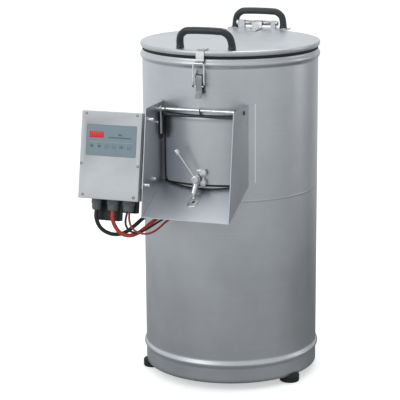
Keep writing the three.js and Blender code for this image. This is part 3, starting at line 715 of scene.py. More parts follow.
def casing_sheet():
    """Point = (R + bead(z) + weld(a)) · (sin a, -cos a) at height z. The angle runs from the
    front, and the weld is a bell-shaped ridge 0.5 mm tall at the back."""
    edge = math.asin(DOOR_HALF_W / DRUM_R)
    a = np.concatenate([np.linspace(-edge, edge, DOOR_STEPS + 1),
                        np.linspace(edge, 2 * np.pi - edge, ROUND_STEPS + 1)[1:-1]])
    z = np.unique(np.concatenate([
        np.arange(SKIRT_Z, NECK_Z, 9.0), [NECK_Z, *DOOR_Z],
        *(np.linspace(b - BEAD_HALF, b + BEAD_HALF, 17) for b in BEADS),
        490.0 + np.arange(0, 9, 1.0)]))
    ring_weld = 0.35 * np.exp(-((z - RING_WELD_Z) / 1.6) ** 2)
    ridge = 0.5 * np.exp(-((a - np.pi) * DRUM_R / 2.2) ** 2)
    r = (DRUM_R + bead_height(z) + ring_weld)[:, None] + ridge
    points = np.stack([r * np.sin(a), -r * np.cos(a), np.broadcast_to(z[:, None], r.shape)], -1)
    faces = quads(len(z), len(a))
    row, column = faces[:, 0] // len(a), faces[:, 0] % len(a)
    low, high = np.searchsorted(z, DOOR_Z)
    door = (column < DOOR_STEPS) & (row >= low) & (row < high)
    return points.reshape(-1, 3), faces[~door]


casing = build("casing_sheet", [casing_sheet()], drum_steel, "casing", open_sheet=True, thick=2.0)
print("casing:", len(casing.data.polygons), "faces")

# %% [markdown]
# ## The lid and its seal
#
# The lid is a flat plate whose edge is rolled over a ring and hangs outside a rubber seal.
# Both are turned pieces. The seal is a soft bulging section, and it leaves the dark line
# between the lid and the drum.

# %% Lid
LID_Z, LID_UNDER = 867.3, 854.3
rim = smooth_route([(221.4, LID_UNDER, 0), (226.0, LID_UNDER, 0), (227.6, LID_UNDER + 0.8, 0),
                    (228.8, LID_Z - 9.3, 0), (229.5, LID_Z - 5.4, 0), (228.9, LID_Z - 2.4, 0),
                    (227.0, LID_Z - 0.7, 0), (224.5, LID_Z - 0.1, 0), (222.0, LID_Z - 0.05, 0)], 4)[:, :2]
lid_outline = [(0, LID_Z - 2.4), (221.4, LID_Z - 2.4), *rim, (216, LID_Z - 0.35),
               (212, LID_Z - 0.55), (150, LID_Z - 0.4), (60, LID_Z - 0.15), (0, LID_Z - 0.1)]
build("lid_plate", [turned(lid_outline, steps=288)], lid_steel, ["lid", "lid_rim"])
seal = [(219.6, 848.0), (222.0, 847.4), (223.6, 848.4), (224.1, 850.6), (223.6, 852.8),
        (222.0, 853.9), (219.6, 853.2)]
build("lid_seal_ring", [turned(seal, steps=160, round_rows=True)], rubber, "lid_seal")
print("lid:", len(lid_outline), "points in its outline")

# %% [markdown]
# ## Bow handles
#
# Two moulded bow handles, one on the lid and one on the hinge bracket. The path is smoothed
# through a few points, the grip is round, and each leg widens at its foot, where a screw
# pulls it down. Thin washer plates lie under the rear one.

# %% Handles
BOW = [(-67, 0), (-67, 8), (-66, 20), (-62, 32), (-49, 42.5), (-32, 44.5), (0, 45)]
BOW += [(-x, up) for x, up in BOW[-2::-1]]


def bow_handle(name, node, y, z, lean, plates):
    """A carried round section; its radius grows towards both feet as an inverse square."""
    path = smooth_route([(x, y - lean * max(0, up - 8) / 37, z + up) for x, up in BOW], 8)
    travel = np.concatenate([[0], np.cumsum(np.linalg.norm(np.diff(path, axis=0), axis=1))])
    foot = np.minimum(travel, travel[-1] - travel)
    radius = 8.9 + 1.6 / (1 + (foot / 5) ** 2)
    radius[[0, -1]] -= 1.2
    build(name, [carried(path, radius, steps=28, up=(0, 1, 0))], handle_plastic, node)
    washers = [turned([(0, z - 0.6), (12.5, z - 0.6), (13, z - 0.1), (12.5, z + 0.5), (0, z + 0.5)],
                      at=(x, y, 0), steps=36) for x in (-67, 67)]
    if plates:
        build(name + "_washers", washers, bright, (), BODY_OF[node])


bow_handle("front_bow", "front_handle", -187.0, LID_Z + 0.3, 11.0, False)
bow_handle("rear_bow", "rear_handle", 251.0, 867.8, 0.0, True)

# %% [markdown]
# ## Feet
#
# Three rubber feet stand under the skirt. A groove shows where the rubber is moulded over
# its metal core.

# %% Feet
FOOT_RING = 209.0
FOOT = [(0, 0), (22, 0), (24.6, 0.9), (25.5, 2.8), (25.5, 9), (24.6, 10), (24.6, 11.4),
        (25.5, 12.4), (25.4, 17), (24.2, 19.2), (22.5, 19.7), (0, 19.7)]
for node, turn in (("foot_left", -64.6), ("foot_right", 64.6), ("foot_rear", 180.0)):
    bearing = math.radians(turn)
    spot = (FOOT_RING * math.sin(bearing), -FOOT_RING * math.cos(bearing), 0)
    build(node + "_rubber", [turned(FOOT, at=spot, steps=56)], rubber, node)
print("feet: 3")

# %% [markdown]
# ## The chute
#
# The chute is folded and welded from sheet: two cheeks, a sloping floor and nothing on top.
# Sheared edges catch the light, so the flat copies get a small bevel. The rod of the door
# ends in a dark cap on the right cheek, and cap nuts hold the box's studs inside the left.

# %% Cheeks and floor
for node in ("cheek_left", "cheek_right"):
    softened(node, cheek_steel, 0.6)
softened("chute_floor", floor_steel, 0.5)
softened("box_bracket", plate_steel, 0.4)
STUDS = ((-299, 706, 14.6), (-331, 550, 14.6), (-270, 553, 7.0))
x = np.linspace(-108, 108, 49)
y = -np.sqrt(226.2**2 - x**2)
# A thin black rubber cord along the floor's joint with the drum: painted shade in the joint.
joint_shade_cord = carried(np.column_stack([x, y, chute_height(y) + 1.2]), 1.8, steps=10)
build("chute_joint_shade", [joint_shade_cord], rubber, (), "machine")
nuts = []
for y, z, tall in STUDS:
    nut = [(0, 0), (5.0, 0), (5.0, 2.0), (4.0, 2.6), (4.0, tall - 1.6), (3.2, tall - 0.4), (0, tall)]
    nuts.append(turned(nut, at=(-110.3, y, z), axis=(1, 0, 0), steps=36))
build("stud_nuts", nuts, bright, (), "machine")
print("stud nuts:", len(STUDS))

# %% [markdown]
# ## The door
#
# A curved sheet covers the doorway. It hangs on a rod through both cheeks by three lugs, and
# its lower corners are rounded. The grid runs across and up: the half width shrinks along a
# quarter circle near the bottom, and each row bends to the drum's curve.

# %% Door
ROD_Y, ROD_Z, DOOR_R, DOOR_TOP, DOOR_FOOT = -234.0, 722.0, 229.1, 708.0, 537.5


def door_sheet():
    """Point = (u·half(z), -sqrt(R² - x²), z), with half(z) drawn in by r - sqrt(r² - (r - h)²)
    for the lowest r = 12 mm, h above the foot."""
    corner, half = 12.0, 102.5
    z = np.concatenate([DOOR_FOOT + corner * (1 - np.cos(np.linspace(0, np.pi / 2, 9))),
                        np.linspace(DOOR_FOOT + corner, DOOR_TOP, 16)[1:]])
    h = np.clip(corner - (z - DOOR_FOOT), 0, corner)
    x = (half - corner + np.sqrt(corner**2 - h**2))[:, None] * np.linspace(-1, 1, 49)
    y = -np.sqrt(DOOR_R**2 - x**2)
    points = np.stack([x, y, np.broadcast_to(z[:, None], x.shape)], -1)
    return points.reshape(-1, 3), quads(len(z), 49, round_columns=False)


build("door_sheet", [door_sheet()], door_steel, "door", open_sheet=True, thick=2.0)
x = np.linspace(-96, 96, 41)
arc = -np.sqrt(227.5**2 - x**2)
# The flange is near black: painted shade under the rod.
flange_rows = [np.column_stack([x, arc, np.full(41, 707.9)]),
               np.column_stack([x, np.full(41, -231.8), np.full(41, 707.9)])]
build("door_flange", [(np.concatenate(flange_rows), quads(2, 41, round_columns=False)[:, ::-1])],
      painted_shade_steel, (), "door", open_sheet=True, thick=1.8)
hinge_rod = turned([(0, -113.4), (3.0, -113.4), (3.5, -112.8), (3.5, 112.8), (3.0, 113.4), (0, 113.4)],
                   at=(0, ROD_Y, ROD_Z), axis=(1, 0, 0), steps=32)
build("door_rod", [hinge_rod], bright, (), "door")
lug = [(-4.6, 1.8), (-3.2, 4.0), (0, 5.2), (4.0, 4.4), (5.8, 1.0), (5.4, -15.0), (2.0, -15.0)]
# The lugs are near black as well: painted shade.
lugs = [slab([(ROD_Y + dy, ROD_Z + dz) for dy, dz in lug], x - 1.5, x + 1.5) for x in (-90, 0, 90)]
build("door_lugs", lugs, painted_shade_steel, (), "door", bevel=0.5)
print("door: sheet, flange, rod and", len(lugs), "lugs")

# %% Door seal and rod caps
def seal_frame():
    """A rounded band round the doorway on the drum's curve: the section's middle follows a
    rounded rectangle in (x, z), and y = -sqrt(R² - x²)."""
    half, low, high, corner, steps = 102.3, 536.0, 706.0, 11.0, 7
    a, sx, sz = four_corners(steps)
    x = sx * (half - corner) + corner * np.cos(a)
    z = (low + high) / 2 + sz * ((high - low) / 2 - corner) + corner * np.sin(a)
    bend = np.stack([x, z], 1)
    line = np.concatenate([
        np.linspace(here, there, 24 if i % steps == steps - 1 else 1, endpoint=False)
        for i, (here, there) in enumerate(zip(bend, np.roll(bend, -1, 0)))])
    way = unit(np.roll(line, -1, 0) - np.roll(line, 1, 0))
    out = np.stack([way[:, 1], -way[:, 0]], 1)
    section = np.array([(-4.4, 0.5), (-3.6, 1.3), (0, 1.8), (3.6, 1.3), (4.4, 0.5)])
    flat = line[:, None] + section[:, :1] * out[:, None]
    r = DRUM_R + 0.1 + section[:, 1]
    y = -np.sqrt(r**2 - flat[..., 0] ** 2)
    points = np.stack([flat[..., 0], y, flat[..., 1]], -1)
    return points.reshape(-1, 3), quads(len(line), 5, round_rows=True, round_columns=False)


build("door_seal_band", [seal_frame()], rubber, "door_seal", open_sheet=True)
cap = turned([(0, 112.5), (5.4, 112.5), (5.6, 113.2), (5.0, 114.2), (0, 114.4)],
             at=(0, ROD_Y, ROD_Z), axis=(1, 0, 0), steps=28)
build("rod_cap", [cap], switch_plastic, (), "door")
softened("switch_arm", satin_bright, 0.4)
print("door seal and switch arm")

# %% [markdown]
# ## The toggle latch
#
# A strike is folded over the lid's rim and its lip is curled out. The wire bail hooks under
# the lip, and the lever pulls it down past its dead point. The wire is a round section
# carried along its bent path, and the lever ends in a tip turned out for the finger.

# %% Toggle latch
BAIL = [(-8, -239.3, 782), (-11.6, -239.6, 782), (-13.4, -240.4, 784), (-13.6, -242.2, 790),
        (-13.6, -243.2, 800), (-13.6, -243.2, 832), (-12.6, -243.2, 836), (-9.6, -243.2, 838),
        (0, -243.2, 838)]
BAIL += [(-x, y, z) for x, y, z in BAIL[-2::-1]]
build("latch_wire", [carried(smooth_route(BAIL, 5), 2.1, steps=14, up=(0, 1, 0.01))],
      bright, "latch_bail")
ends = [turned([(0, 13.0), (3.3, 13.0), (3.6, 13.6), (3.6, 15.2), (3.0, 15.8), (0, 15.9)],
               at=(0, -241.0, 783.5), axis=(side, 0, 0), steps=24) for side in (-1, 1)]
build("latch_wire_ends", ends, switch_plastic, (), "latch_bail")
softened("latch_strike", bright_fitting("strike_steel", tone=0.62, rough=0.4), 0.35)
softened("latch_base", dark_bright, 0.35)
softened("latch_lever", lever_finish(), 0.45)
strike_rivets = [turned([(0, LID_Z + 2.2), (2.6, LID_Z + 2.2), (2.2, LID_Z + 3.2), (0, LID_Z + 3.6)],
                        at=(x, -206, 0), steps=20) for x in (-5.5, 5.5)]
build("strike_rivets", strike_rivets, bright, (), "lid")
print("latch wire:", len(BAIL), "points")

# %% [markdown]
# ## The lid hinge
#
# The hinge stands on a bracket behind the drum. Its long pin carries two spacer tubes
# between the bracket's ears and the leaf on the lid, and it ends in a nut.

# %% Lid hinge
softened("lid_hinge_bracket", plate_steel, 0.6)
softened("lid_hinge_leaf", satin_bright, 0.5)
PIN_Y, PIN_Z = 238.0, 882.0


def on_pin(outline, steps, **more):
    """A piece turned round the hinge pin's axis."""
    return turned(outline, at=(0, PIN_Y, PIN_Z), axis=(1, 0, 0), steps=steps, **more)


pin = [on_pin([(0, -57), (3.4, -57), (4, -56.4), (4, 53.4), (3.4, 54), (0, 54)], 28),
       on_pin([(0, 50.3), (6.8, 50.3), (7, 50.8), (7, 55.2), (6.4, 56), (0, 56)], 48, shape=six_sided),
       on_pin([(0, -59), (6.4, -59), (7, -58.2), (7, -54.6), (0, -54.4)], 28)]
build("hinge_pin", pin, bright, "lid_hinge_pin")
spacers = [on_pin([(4.2, a), (6.1, a), (6.3, a + 0.4), (6.3, b - 0.4), (6.1, b), (4.2, b)], 32,
                  round_rows=True) for a, b in ((-36.6, -14.4), (14.4, 36.6))]
build("hinge_spacers", spacers, dark_bright, (), "machine")
bolts = [turned([(0, 234.0), (6.5, 234.0), (6.5, 237.6), (5.8, 238.4), (0, 238.4)],
                at=(x, 0, z), axis=(0, 1, 0), steps=48, shape=six_sided)
         for x in (-28, 28) for z in (784, 806)]
build("bracket_bolts", bolts, bright, (), "machine")
leaf_screws = [turned([(0, LID_Z + 3.1), (4.2, LID_Z + 3.1), (3.4, LID_Z + 4.6), (1.6, LID_Z + 5.2),
                       (0, LID_Z + 5.3)], at=(x, y, 0), steps=28) for x in (-7, 7) for y in (182, 212)]
build("leaf_screws", leaf_screws, bright, (), "lid")
print("hinge: pin, spacers and", len(bolts), "bolts")

# %% [markdown]
# ## The door latch
#
# A lever turns a hub, and the hub pushes a bolt down into a keeper on the chute floor. The
# bolt runs in a slanted sleeve. The hub, the two round nuts and the sleeve are turned pieces
# with small chamfers, because a chamfer is what makes a turned edge shine.

# %% Door latch
HUB = (-6.0, 554.0)
BOLT_TOP = np.array([-6.0, -250.0, 542.0])
BOLT_WAY = unit(np.array([-3.0, -16.0, -30.0]))


def rod(start, end, radii, steps=28):
    """A straight carried piece with the radii spread evenly along it."""
    s = np.linspace(0, 1, len(radii))[:, None]
    return carried(np.asarray(start) * (1 - s) + np.asarray(end) * s, radii, steps, up=(0.3, 1, 0.2))


plate_shell = rounded_block((-12, -236, 541), (11, -229.6, 575), 2.4)
knobs = [turned([(0, -235), (8.6, -235), (8.6, -237), (7.8, -237.4), (8.6, -238), (8.6, -241.6),
                 (7.4, -243.3), (4.2, -244.0), (0, -244.1)], at=(x, 0, z), axis=(0, 1, 0), steps=36)
         for x, z in ((8, 543), (9, 567))]
arm_shell = rounded_block((-11.5, -257, 533.5), (-0.5, -235, 546), 2.6)
sleeve = [(4.5, 1.2), (7.4, 1.2), (8.8, 2.4), (8.8, 6.0), (8.2, 6.6), (8.2, 20.4), (8.8, 21.0),
          (8.8, 25.2), (8.0, 26.0), (4.5, 26.0)]
sleeve_shell = turned(sleeve, at=BOLT_TOP, axis=BOLT_WAY, steps=40, round_rows=True)
build("latch_body", [plate_shell, *knobs, arm_shell, sleeve_shell], latch_bright, "door_latch_body")
hub = [(0, -245), (9.2, -245), (9.4, -245.6), (9.4, -247.6), (8.7, -248.2), (8.7, -252.2),
       (9.4, -252.8), (9.4, -260.4), (8.9, -261.4), (8.0, -261.9), (5.0, -261.9), (4.7, -260.9),
       (0, -260.8)]
hub_shell = turned(hub, at=(HUB[0], 0, HUB[1]), axis=(0, 1, 0), steps=48)
lever_end = (-49.4, -257.0, 616.6)
lever_shell = rod((HUB[0] - 4, -253.4, HUB[1] + 6), lever_end, np.linspace(3.3, 2.5, 12), 20)
shaft_shell = turned([(0, -232), (4.5, -232), (4.5, -246), (0, -246)],
                     at=(HUB[0], 0, HUB[1]), axis=(0, 1, 0), steps=28)
build("latch_handle", [hub_shell, lever_shell, shaft_shell], latch_bright, "door_latch_handle")
cap_way = np.array([-56.0, -257.6, 626.0]) - lever_end
cap = [(0, -1.5), (5.0, -1.5), (6.1, -0.6), (6.5, 0.6), (6.5, 10.0), (5.9, 11.8), (4.2, 12.8), (0, 13.1)]
build("latch_cap", [turned(cap, at=lever_end, axis=cap_way, steps=32)], bright, "door_latch_cap")
bolt = [(0, 2.5), (4, 2.5), (4, 28.6), (3.2, 30), (0, 30.1)]
build("latch_bolt", [turned(bolt, at=BOLT_TOP, axis=BOLT_WAY, steps=28)], bright, "door_bolt")
print("latch lever:", round(float(np.linalg.norm(np.subtract(lever_end, (HUB[0], -253, HUB[1]))))), "mm")


# %% Bolt keeper
def keeper_tab():
    """A rounded plate on the sloping floor with a hole for the bolt: rings of points run from the
    hole's edge to the outline, |x/a|^n + |y/b|^n = 1 with n = 4."""
    middle = np.array([-2.5, -279.5])
    hole = np.array([-9.2, -266.9])
    a = np.linspace(0, 2 * np.pi, 64, endpoint=False)
    ray = np.stack([np.cos(a), np.sin(a)], 1)
    reach = (np.abs(ray / np.array([12.5, 22.0])) ** 4).sum(1) ** -0.25
    outer = middle + ray * reach[:, None]
    inner = hole + ray * (4.9, 7.2)
    share = np.array([0.0, 0.04, 0.96, 1.0, 1.0, 0.0])[:, None, None]
    lift = np.array([1.7, 2.2, 2.2, 1.7, 0.2, 0.2])[:, None]
    flat = inner * (1 - share) + outer * share
    z = chute_height(flat[..., 1]) + 0.2 + lift
    return np.concatenate([flat, z[..., None]], -1).reshape(-1, 3), quads(6, 64, round_rows=True)


build("keeper_tab", [keeper_tab()], latch_bright, "bolt_keeper")
# A thin black disc on the tab where a second hole shows dark: painted shade.
hole_shade_disc = turned([(0, 0.3), (3.6, 0.3), (3.9, 0), (3.9, -0.5), (0, -0.5)], steps=28,
                  at=(-1.3, -283.0, chute_height(-283.0) + 2.6), axis=(0, -0.363, 0.932))
build("keeper_hole_shade", [hole_shade_disc], switch_plastic, (), "machine")
softened("safety_switch", switch_plastic, 0.8)
print("keeper and safety switch")

# %% [markdown]
# ## The control box
#
# The box is a moulded housing with a shallow cover. The edges that join its outside corners
# are rounded by 2 mm, and only those: an edge gets the bevel if both of its ends are such
# corners. Six screws hold the cover.


# %% Box
def outer_box_edges(points):
    """True for points on the box's outside corners, seen in its own leaning frame."""
    up = (points - BOX_FOOT) @ BOX_UP
    across = points[:, 0]
    side = np.minimum(np.abs(across - BOX_LEFT), np.abs(across - BOX_RIGHT)) < 0.4
    return side & (np.minimum(np.abs(up - BOX_LOW), np.abs(up - BOX_TALL)) < 0.4)


softened("box_cover", box_plastic, 2.0, outer_box_edges)
softened("box_base", box_plastic, 2.0, outer_box_edges)
SCREW_SPOTS = [(-269, 206, 3.4), (-135, 206, 3.4), (-276.5, 83, 3.6), (-127.6, 83, 3.6),
               (-269, 7, 3.6), (-135, 7, 4.0)]
SCREW_HEAD = ((0, 0.9), (0.42, 0.9), (0.46, 0.0), (0.86, 0.1), (1.0, 0.5), (1.0, 1.2), (0, 1.2))
heads = []
for across, up, r in SCREW_SPOTS:
    outline = [(r * a, b) for a, b in SCREW_HEAD]
    heads.append(turned(outline, at=on_box([[across, -0.4, up]])[0], axis=BOX_IN, steps=36))
dark_screw = bright_fitting("dark_screw", 0.22, 0.35)
build("cover_screws", heads, dark_screw, (), "machine")
print("cover screws:", len(heads))

# %% [markdown]
# ## The label and its keys
#
# A printed film fills a recess in the cover, with a red display and six pressure keys. The
# film's outline is a rounded rectangle, cut by the window and the keys. A flat curve can be
# filled with holes in it, so the film starts as one and is then made a mesh. The ornament is
# plain: a bar and an oval, and the keys show plain signs.


# %% Label finish
FILM_DARK, FILM_LIGHT, INK = (0.195, 0.265, 0.305), (0.235, 0.315, 0.355), (0.03, 0.045, 0.05)


def label_film(name):
    """Blue grey film with a printed line, a bar and an oval, all placed on the box face."""
    f = Finish(name, "label_film", Coat_Weight=0.15, Coat_Roughness=0.25)
    across, up = f.along((1, 0, 0), DRUM_AXIS), f.along(BOX_UP, place(BOX_FOOT))
    haze = f.clouds(40, 40, 40, detail=3.0)
    colour = f.blend(haze, FILM_DARK, FILM_LIGHT)

    def band(value, middle, half, soft=0.0003):
        return 1 - (value - middle / 1000).size().step(half / 1000 - soft, half / 1000 + soft)

    line = band(up, 138.0, 0.35) * band(across, -200, 58)
    bar = band(up, 149.5, 1.5) * band(across, -178, 30, 0.004)
    oval = band(across, -178, 4.6) * band(up, 156.5, 2.2)
    colour = f.blend(line * 0.5, colour, (0.55, 0.60, 0.63))
    colour = f.blend((bar + oval) * 0.75, colour, (0.05, 0.075, 0.085))
    f.feed(Base_Color=colour, Roughness=haze * 0.15 + 0.32)
    f.relief(haze, 0.00002, 0.4)
    return f


def key_sign(name, index):
    """A key's finish: film colour, with a sign from distances to the key's middle."""
    f = Finish(name, "key_film", Coat_Weight=0.15, Coat_Roughness=0.25)
    middle = place(on_box([[KEY_X[index], 0, KEY_UP]])[0])
    across, up = f.along((1, 0, 0), middle), f.along(BOX_UP, middle)
    far = f.node("ShaderNodeVectorMath", {"operation": "LENGTH"},
                 {0: f.moved("SUBTRACT", f.here, tuple(middle))}, "Value")
    square = up.sum("MAXIMUM", across.size(), up.size())
    mm = 0.001
    dot = 1 - far.step(2.3 * mm, 2.9 * mm)
    ring = far.step(2.3 * mm, 2.6 * mm) - far.step(3.1 * mm, 3.4 * mm)
    frame_sign = square.step(2.2 * mm, 2.4 * mm) - square.step(2.9 * mm, 3.1 * mm)
    wedge = 1 - (across.size() + up * 0.6).step(1.6 * mm, 2.1 * mm)
    tick = 1 - (across - up).size().step(0.5 * mm, 0.9 * mm)
    arrow = wedge * (1 - up.size().step(2.2 * mm, 2.5 * mm))
    slash = tick * (1 - far.step(3 * mm, 3.4 * mm)) * 0.6
    signs = [dot, dot, frame_sign * 0.25, ring * 0.3, arrow, slash]
    haze = f.clouds(40, 40, 40, detail=3.0)
    film = f.blend(haze, FILM_DARK, FILM_LIGHT)
    rim = far.step(4.3 * mm, 4.9 * mm)
    film = f.blend(rim * 0.35, film, (0.13, 0.18, 0.21))
    f.feed(Base_Color=f.blend(signs[index] * 0.9, film, INK), Roughness=haze * 0.15 + 0.32)
    f.relief(rim, 0.0002, 0.5)
    return f


KEY_X, KEY_UP = [-251 + 19.56 * i for i in range(6)], 128.0
film = label_film("label_film")
print("label film ready")


# %% Label, display and keys
def ring_points(across, up, width, height, corner, steps=6):
    """A rounded rectangle, or a circle when the corner is half of both sides."""
    a, sx, sy = four_corners(steps)
    return np.stack([across + sx * (width / 2 - corner) + corner * np.cos(a),
                     up + sy * (height / 2 - corner) + corner * np.sin(a)], 1)


def cut_plate(name, rings, deep, thick, finish, node):
    """A flat filled curve with holes, made a mesh, then placed on the leaning face."""
    curve = bpy.data.curves.new(name, "CURVE")
    curve.dimensions, curve.fill_mode, curve.extrude = "2D", "BOTH", thick / 2
    for ring in rings:
        line = curve.splines.new("POLY")
        line.points.add(len(ring) - 1)
        flat = np.column_stack([ring, np.zeros(len(ring)), np.ones(len(ring))])
        line.points.foreach_set("co", flat.ravel())
        line.use_cyclic_u = True
    holder = shown(name + "_flat", curve)
    bpy.context.view_layer.update()
    filled = holder.evaluated_get(bpy.context.evaluated_depsgraph_get())
    mesh = bpy.data.meshes.new_from_object(filled)
    bpy.data.objects.remove(holder)
    corners = np.zeros(len(mesh.vertices) * 3)
    mesh.vertices.foreach_get("co", corners)
    across, up, depth = corners.reshape(-1, 3).T
    solid = on_box(np.stack([across, deep + thick / 2 - depth, up], 1))
    mesh.vertices.foreach_set("co", place(solid).ravel())
    with opened(mesh) as work:
        bmesh.ops.recalc_face_normals(work, faces=work.faces)
    return finished(shown(name, mesh), finish, node)


holes = [ring_points(-239.5, 155.5, 37.4, 15.4, 1.2)]
holes += [ring_points(x, KEY_UP, 10.8, 10.8, 5.39) for x in KEY_X]
cut_plate("label_sheet", [ring_points(-200.5, 141.8, 131.4, 75.6, 5.0), *holes], 0.1, 1.1, film,
          "label_panel")
glass = Finish("display_glass", "display_red", Roughness=0.3, Coat_Weight=0.1,
               Emission_Strength=0.15)
bars = glass.along((1, 0, 0), place((-256.5, 0, 0)))
digit = glass.node("ShaderNodeMath", {"operation": "PINGPONG"}, {0: bars, 1: 0.0028})
rise = (glass.along(BOX_UP, place(BOX_FOOT + BOX_UP * 155.5))).size()
strokes = digit.step(0.0016, 0.0019) * (1 - rise.step(0.0040, 0.0044))
red = glass.blend(strokes * 0.3, (0.60, 0.006, 0.012), (0.85, 0.10, 0.09))
glass.feed(Base_Color=red, Emission_Color=red)
pane, pane_faces = rounded_block((-258, 0.25, 148), (-221, 1.3, 163), 0.4)
build("display_pane", [(on_box(pane), pane_faces)], glass, "display_window")
for i, x in enumerate(KEY_X):
    dome = [(0, 0.8), (4.9, 0.8), (5.0, 0.5), (4.8, 0.05), (4.2, -0.12), (2.0, -0.2), (0, -0.22)]
    key = turned(dome, at=on_box([[x, 0, KEY_UP]])[0], axis=BOX_IN, steps=36)
    build(f"key_{i + 1}_pad", [key], key_sign(f"key_sign_{i + 1}", i), f"key_{i + 1}")
print("label with", len(KEY_X), "keys")

# %% [markdown]
# ## Glands and connectors
#
# Each cable passes a gland: a flanged hexagon against the box, and a dome nut whose ribs
# give grip and whose mouth squeezes a rubber ring round the cable. The ribs are a wave in
# the radius round the axis, so the same turned surface makes them.


# %% Glands
def ribbed(a):
    """Twelve round ribs: a cosine wave of 2.5 % in the radius."""
    return 1 + 0.025 * np.cos(12 * a)


GLANDS = (("left", -247, 5.4, 0.85), ("middle", -203, 5.4, 1), ("right", -162, 6.0, 1))
for name, x, bore, wide in GLANDS:
    foot = on_box([[x, GLAND_IN, BOX_LOW]])[0]
    flange = [(0, -0.2), (15.4, -0.2), (15.6, -0.8), (15.6, -5.2), (14.9, -6.2), (0, -6.2)]
    flange = turned([(r * wide, z) for r, z in flange], at=foot, axis=BOX_UP, steps=48)
    hexagon = [(0, -5.5), (15.6, -5.5), (15.8, -6.2), (15.8, -12.4), (14.8, -13.4), (0, -13.4)]
    hexagon = turned([(r * wide, z) for r, z in hexagon], at=foot, axis=BOX_UP, steps=60,
                     shape=six_sided)
    dome = [(bore, -12.5), (13.2, -12.5), (13.6, -13.6), (13.6, -21.0), (13.0, -24.4), (11.9, -27.2),
            (10.4, -28.7), (9.0, -29.0), (7.9, -28.6), (7.4, -27.4), (bore, -27.2)]
    dome = [(max(bore, r * wide), z) for r, z in dome]
    nut = turned(dome, at=foot, axis=BOX_UP, steps=96, shape=ribbed, round_rows=True)
    build(f"gland_{name}_nut", [flange, hexagon, nut], gland_plastic, f"gland_{name}")
    grip = turned([(4.0, -20), (6.3, -20), (6.3, -27.6), (6.0, -28.9), (bore - 0.5, -28.4)],
                  at=foot, axis=BOX_UP, steps=32, round_rows=True)
    build(f"gland_{name}_ring", [grip], rubber, (), "machine")
softened("power_connector", switch_plastic, 2.0)
softened("signal_connector", switch_plastic, 1.6)
print("glands: 3")


# %% Grommets where the cables enter the drum
def entry(points):
    """Where a cable's smooth route crosses the casing: the point at radius R."""
    route = smooth_route(points, 12)
    reach = np.hypot(route[:, 0], route[:, 1])
    k = int(np.argmax(reach < DRUM_R))
    share = (reach[k - 1] - DRUM_R) / (reach[k - 1] - reach[k])
    return route[k - 1] + (route[k] - route[k - 1]) * share


rings = []
for radius, _, points in ROUTES.values():
    spot = entry(points)
    out = np.array([spot[0], spot[1], 0.0]) / DRUM_R
    r = radius * 1.25
    lip = [(r, -2), (r + 3.2, -0.6), (r + 3.4, 0.8), (r + 2.4, 2.0), (r + 0.8, 2.2), (r, 1.4)]
    rings.append(turned(lip, at=spot, axis=out, steps=36, round_rows=True))
build("cable_grommets", rings, rubber, (), "machine")
print("grommets:", len(rings))

# %% [markdown]
# ## Inside and below
#
# The floor of the chamber, the disc on its shaft, the belt and the motor are seen only with
# the lid open or from below. Their shapes are right as they are, so copies with rounded edges
# take the finishes of castings, rubber, sheet and grit.

# %% Inside
INSIDE = (
    ("base_ring", plate_steel, 0.5), ("chamber_floor", lid_steel, 0.4),
    ("wall_liner", wall_grit, 0.3), ("peeling_disc", disc_grit, 1.0),
    ("drive_shaft", bright, 0.8), ("bearing_housing", cast, 1.0), ("shaft_pulley", cast, 0.6),
    ("motor_pulley", cast, 0.6), ("drive_belt", rubber, 0.6), ("motor_mount", plate_steel, 0.6),
    ("motor", cast, 1.5))
for node, finish, bevel in INSIDE:
    softened(node, finish, bevel)
PIPE = [(0, 160, 489.7), (0, 160, 478), (0, 162, 462), (0, 170, 449), (0, 184, 440),
        (0, 200, 437.3), (0, 220, 437), (0, 254, 437), (0, 256, 437)]


def pipe_shell(path, outside, wall):
    """Two carried skins joined at both ends: out along the outside, back along the bore."""
    path = smooth_route(path, 5)
    way = unit(np.gradient(path, axis=0))
    side = np.array([1.0, 0, 0])
    over = np.cross(side, way)
    a = np.linspace(0, 2 * np.pi, 36, endpoint=False)[:, None]
    ray = np.cos(a) * side + np.sin(a) * over[:, None]
    points = np.concatenate([path[:, None] + outside * ray,
                             (path[:, None] + (outside - wall) * ray)[::-1]])
    return points.reshape(-1, 3), quads(len(points), 36, round_rows=True)


build("drain_spout", [pipe_shell(PIPE, 20.0, 2.0)], cheek_steel, "drain_pipe")
collar = turned([(20.2, 223.8), (27.5, 224.4), (27.0, 225.8), (22.5, 227.0), (20.2, 227.4)],
                at=(0, 0, 437), axis=(0, 1, 0), steps=56, round_rows=True)
build("drain_collar", [collar], plate_steel, (), "machine")
print("pieces made:", len(made))

# %% [markdown]
# ## The stage
#
# A satin drum looks like what surrounds it, so the studio is brighter on its left, darker on
# its right and bright again behind. One ramp of levels round the machine serves both the
# room and the floor. The floor near the machine gives less light back, because the machine
# stands in its own shade there. The lens itself sees a plain white floor and room.

# %% Levels round the machine
# Bearing in degrees, 0 towards the lens and positive to its right, and the light from there.
LEVELS = ((-180, 0.98), (-134, 0.90), (-60, 0.80), (0, 0.70), (50, 0.76), (80, 0.49),
          (125, 0.33), (145, 0.75), (180, 0.87))


def surround(graph, way):
    """The studio's brightness in a direction: the bearing from the lens's side is
    atan2(right, near), and a ramp turns the bearing into a level."""
    def part(direction):
        return graph.node("ShaderNodeVectorMath", {"operation": "DOT_PRODUCT"},
                          {0: way, 1: tuple(direction)}, "Value")

    bearing = graph.node("ShaderNodeMath", {"operation": "ARCTAN2"},
                         {0: part(ACROSS), 1: part(unit(-LOOK * (1, 1, 0)))})
    ramp = graph.node("ShaderNodeValToRGB", (), {"Fac": bearing / (2 * math.pi) + 0.5})
    stops = ramp.socket.node.color_ramp.elements
    for degrees, _ in LEVELS[1:-1]:
        stops.new(degrees / 360 + 0.5)
    for stop, (_, level) in zip(stops, LEVELS):
        stop.color = (level * 0.97, level, level * 1.02, 1)
    return ramp


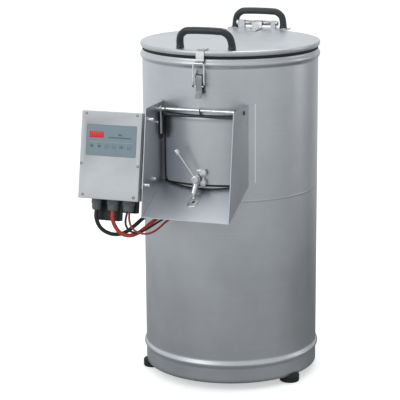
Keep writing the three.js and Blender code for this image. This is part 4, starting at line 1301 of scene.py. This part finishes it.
# %% Floor
floor_mesh = bpy.data.meshes.new("studio_floor")
floor_corners = [(-60, -60, 0), (60, -60, 0), (60, 60, 0), (-60, 60, 0)]
floor_mesh.from_pydata(floor_corners, [], [(0, 1, 2, 3)])
studio_floor = shown("studio_floor", floor_mesh)
paint = Finish("studio_floor", None, Roughness=0.9, Specular_IOR_Level=0.0, Emission_Strength=1.0)
for_lens = paint.node("ShaderNodeLightPath", output="Is Camera Ray")
from_drum = paint.moved("SUBTRACT", paint.here, tuple(DRUM_AXIS))
far = paint.node("ShaderNodeVectorMath", {"operation": "LENGTH"}, {0: from_drum}, "Value")
open_sky = paint.node("ShaderNodeMapRange", (), {
    "Value": far, "From Min": 0.6, "From Max": 3.6, "To Min": 0.38, "To Max": 1.0})
given_back = paint.blend(open_sky, (0, 0, 0), surround(paint, from_drum))
paint.feed(Base_Color=paint.blend(for_lens, (0, 0, 0), (0.9, 0.9, 0.9)),
           Emission_Color=paint.blend(for_lens, given_back, (0.42, 0.42, 0.42)))
floor_mesh.materials.append(paint.material)
studio_floor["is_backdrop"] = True

# %% Studio light
world = bpy.data.worlds.new("studio")
bpy.context.scene.world = world
world.use_nodes = True
room = Graph(world.node_tree)
way = room.node("ShaderNodeTexCoord", output="Generated")
for_lens = room.node("ShaderNodeLightPath", output="Is Camera Ray")
light = room.blend(for_lens, surround(room, way), (1, 1, 1))
room.tree.links.new(light.socket, room.tree.nodes["Background"].inputs["Color"])


def soft_box(name, spot, aim, width, height, power):
    """A large rectangular lamp that faces its aim."""
    lamp = bpy.data.lights.new(name, "AREA")
    lamp.shape, lamp.size, lamp.size_y, lamp.energy = "RECTANGLE", width, height, power
    back = unit(np.subtract(spot, aim).astype(float))
    side = unit(np.cross([0, 0, 1], back))
    aimed(shown(name, lamp), side, np.cross(back, side), back, spot)


soft_box("key", (-1.6, -3.2, 2.6), (0, 0, 0.5), 2.2, 2.2, 28)
soft_box("top", (0.3, 0.6, 3.2), (0, 0, 0.8), 2.0, 2.0, 22)
soft_box("rim", (3.2, 1.6, 1.4), (0, 0, 0.5), 0.6, 2.4, 10)
bpy.context.scene.view_settings.view_transform = "Standard"
print("stage ready")

# %% [markdown]
# ## Size
#
# The boxes of the mechanical model and of the finished one are printed side by side.

# %% Finish
visual_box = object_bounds()
for label, (low, high) in (("cad", cad_box), ("visual", visual_box)):
    print(label, [round(v, 4) for v in (*low, *high)])
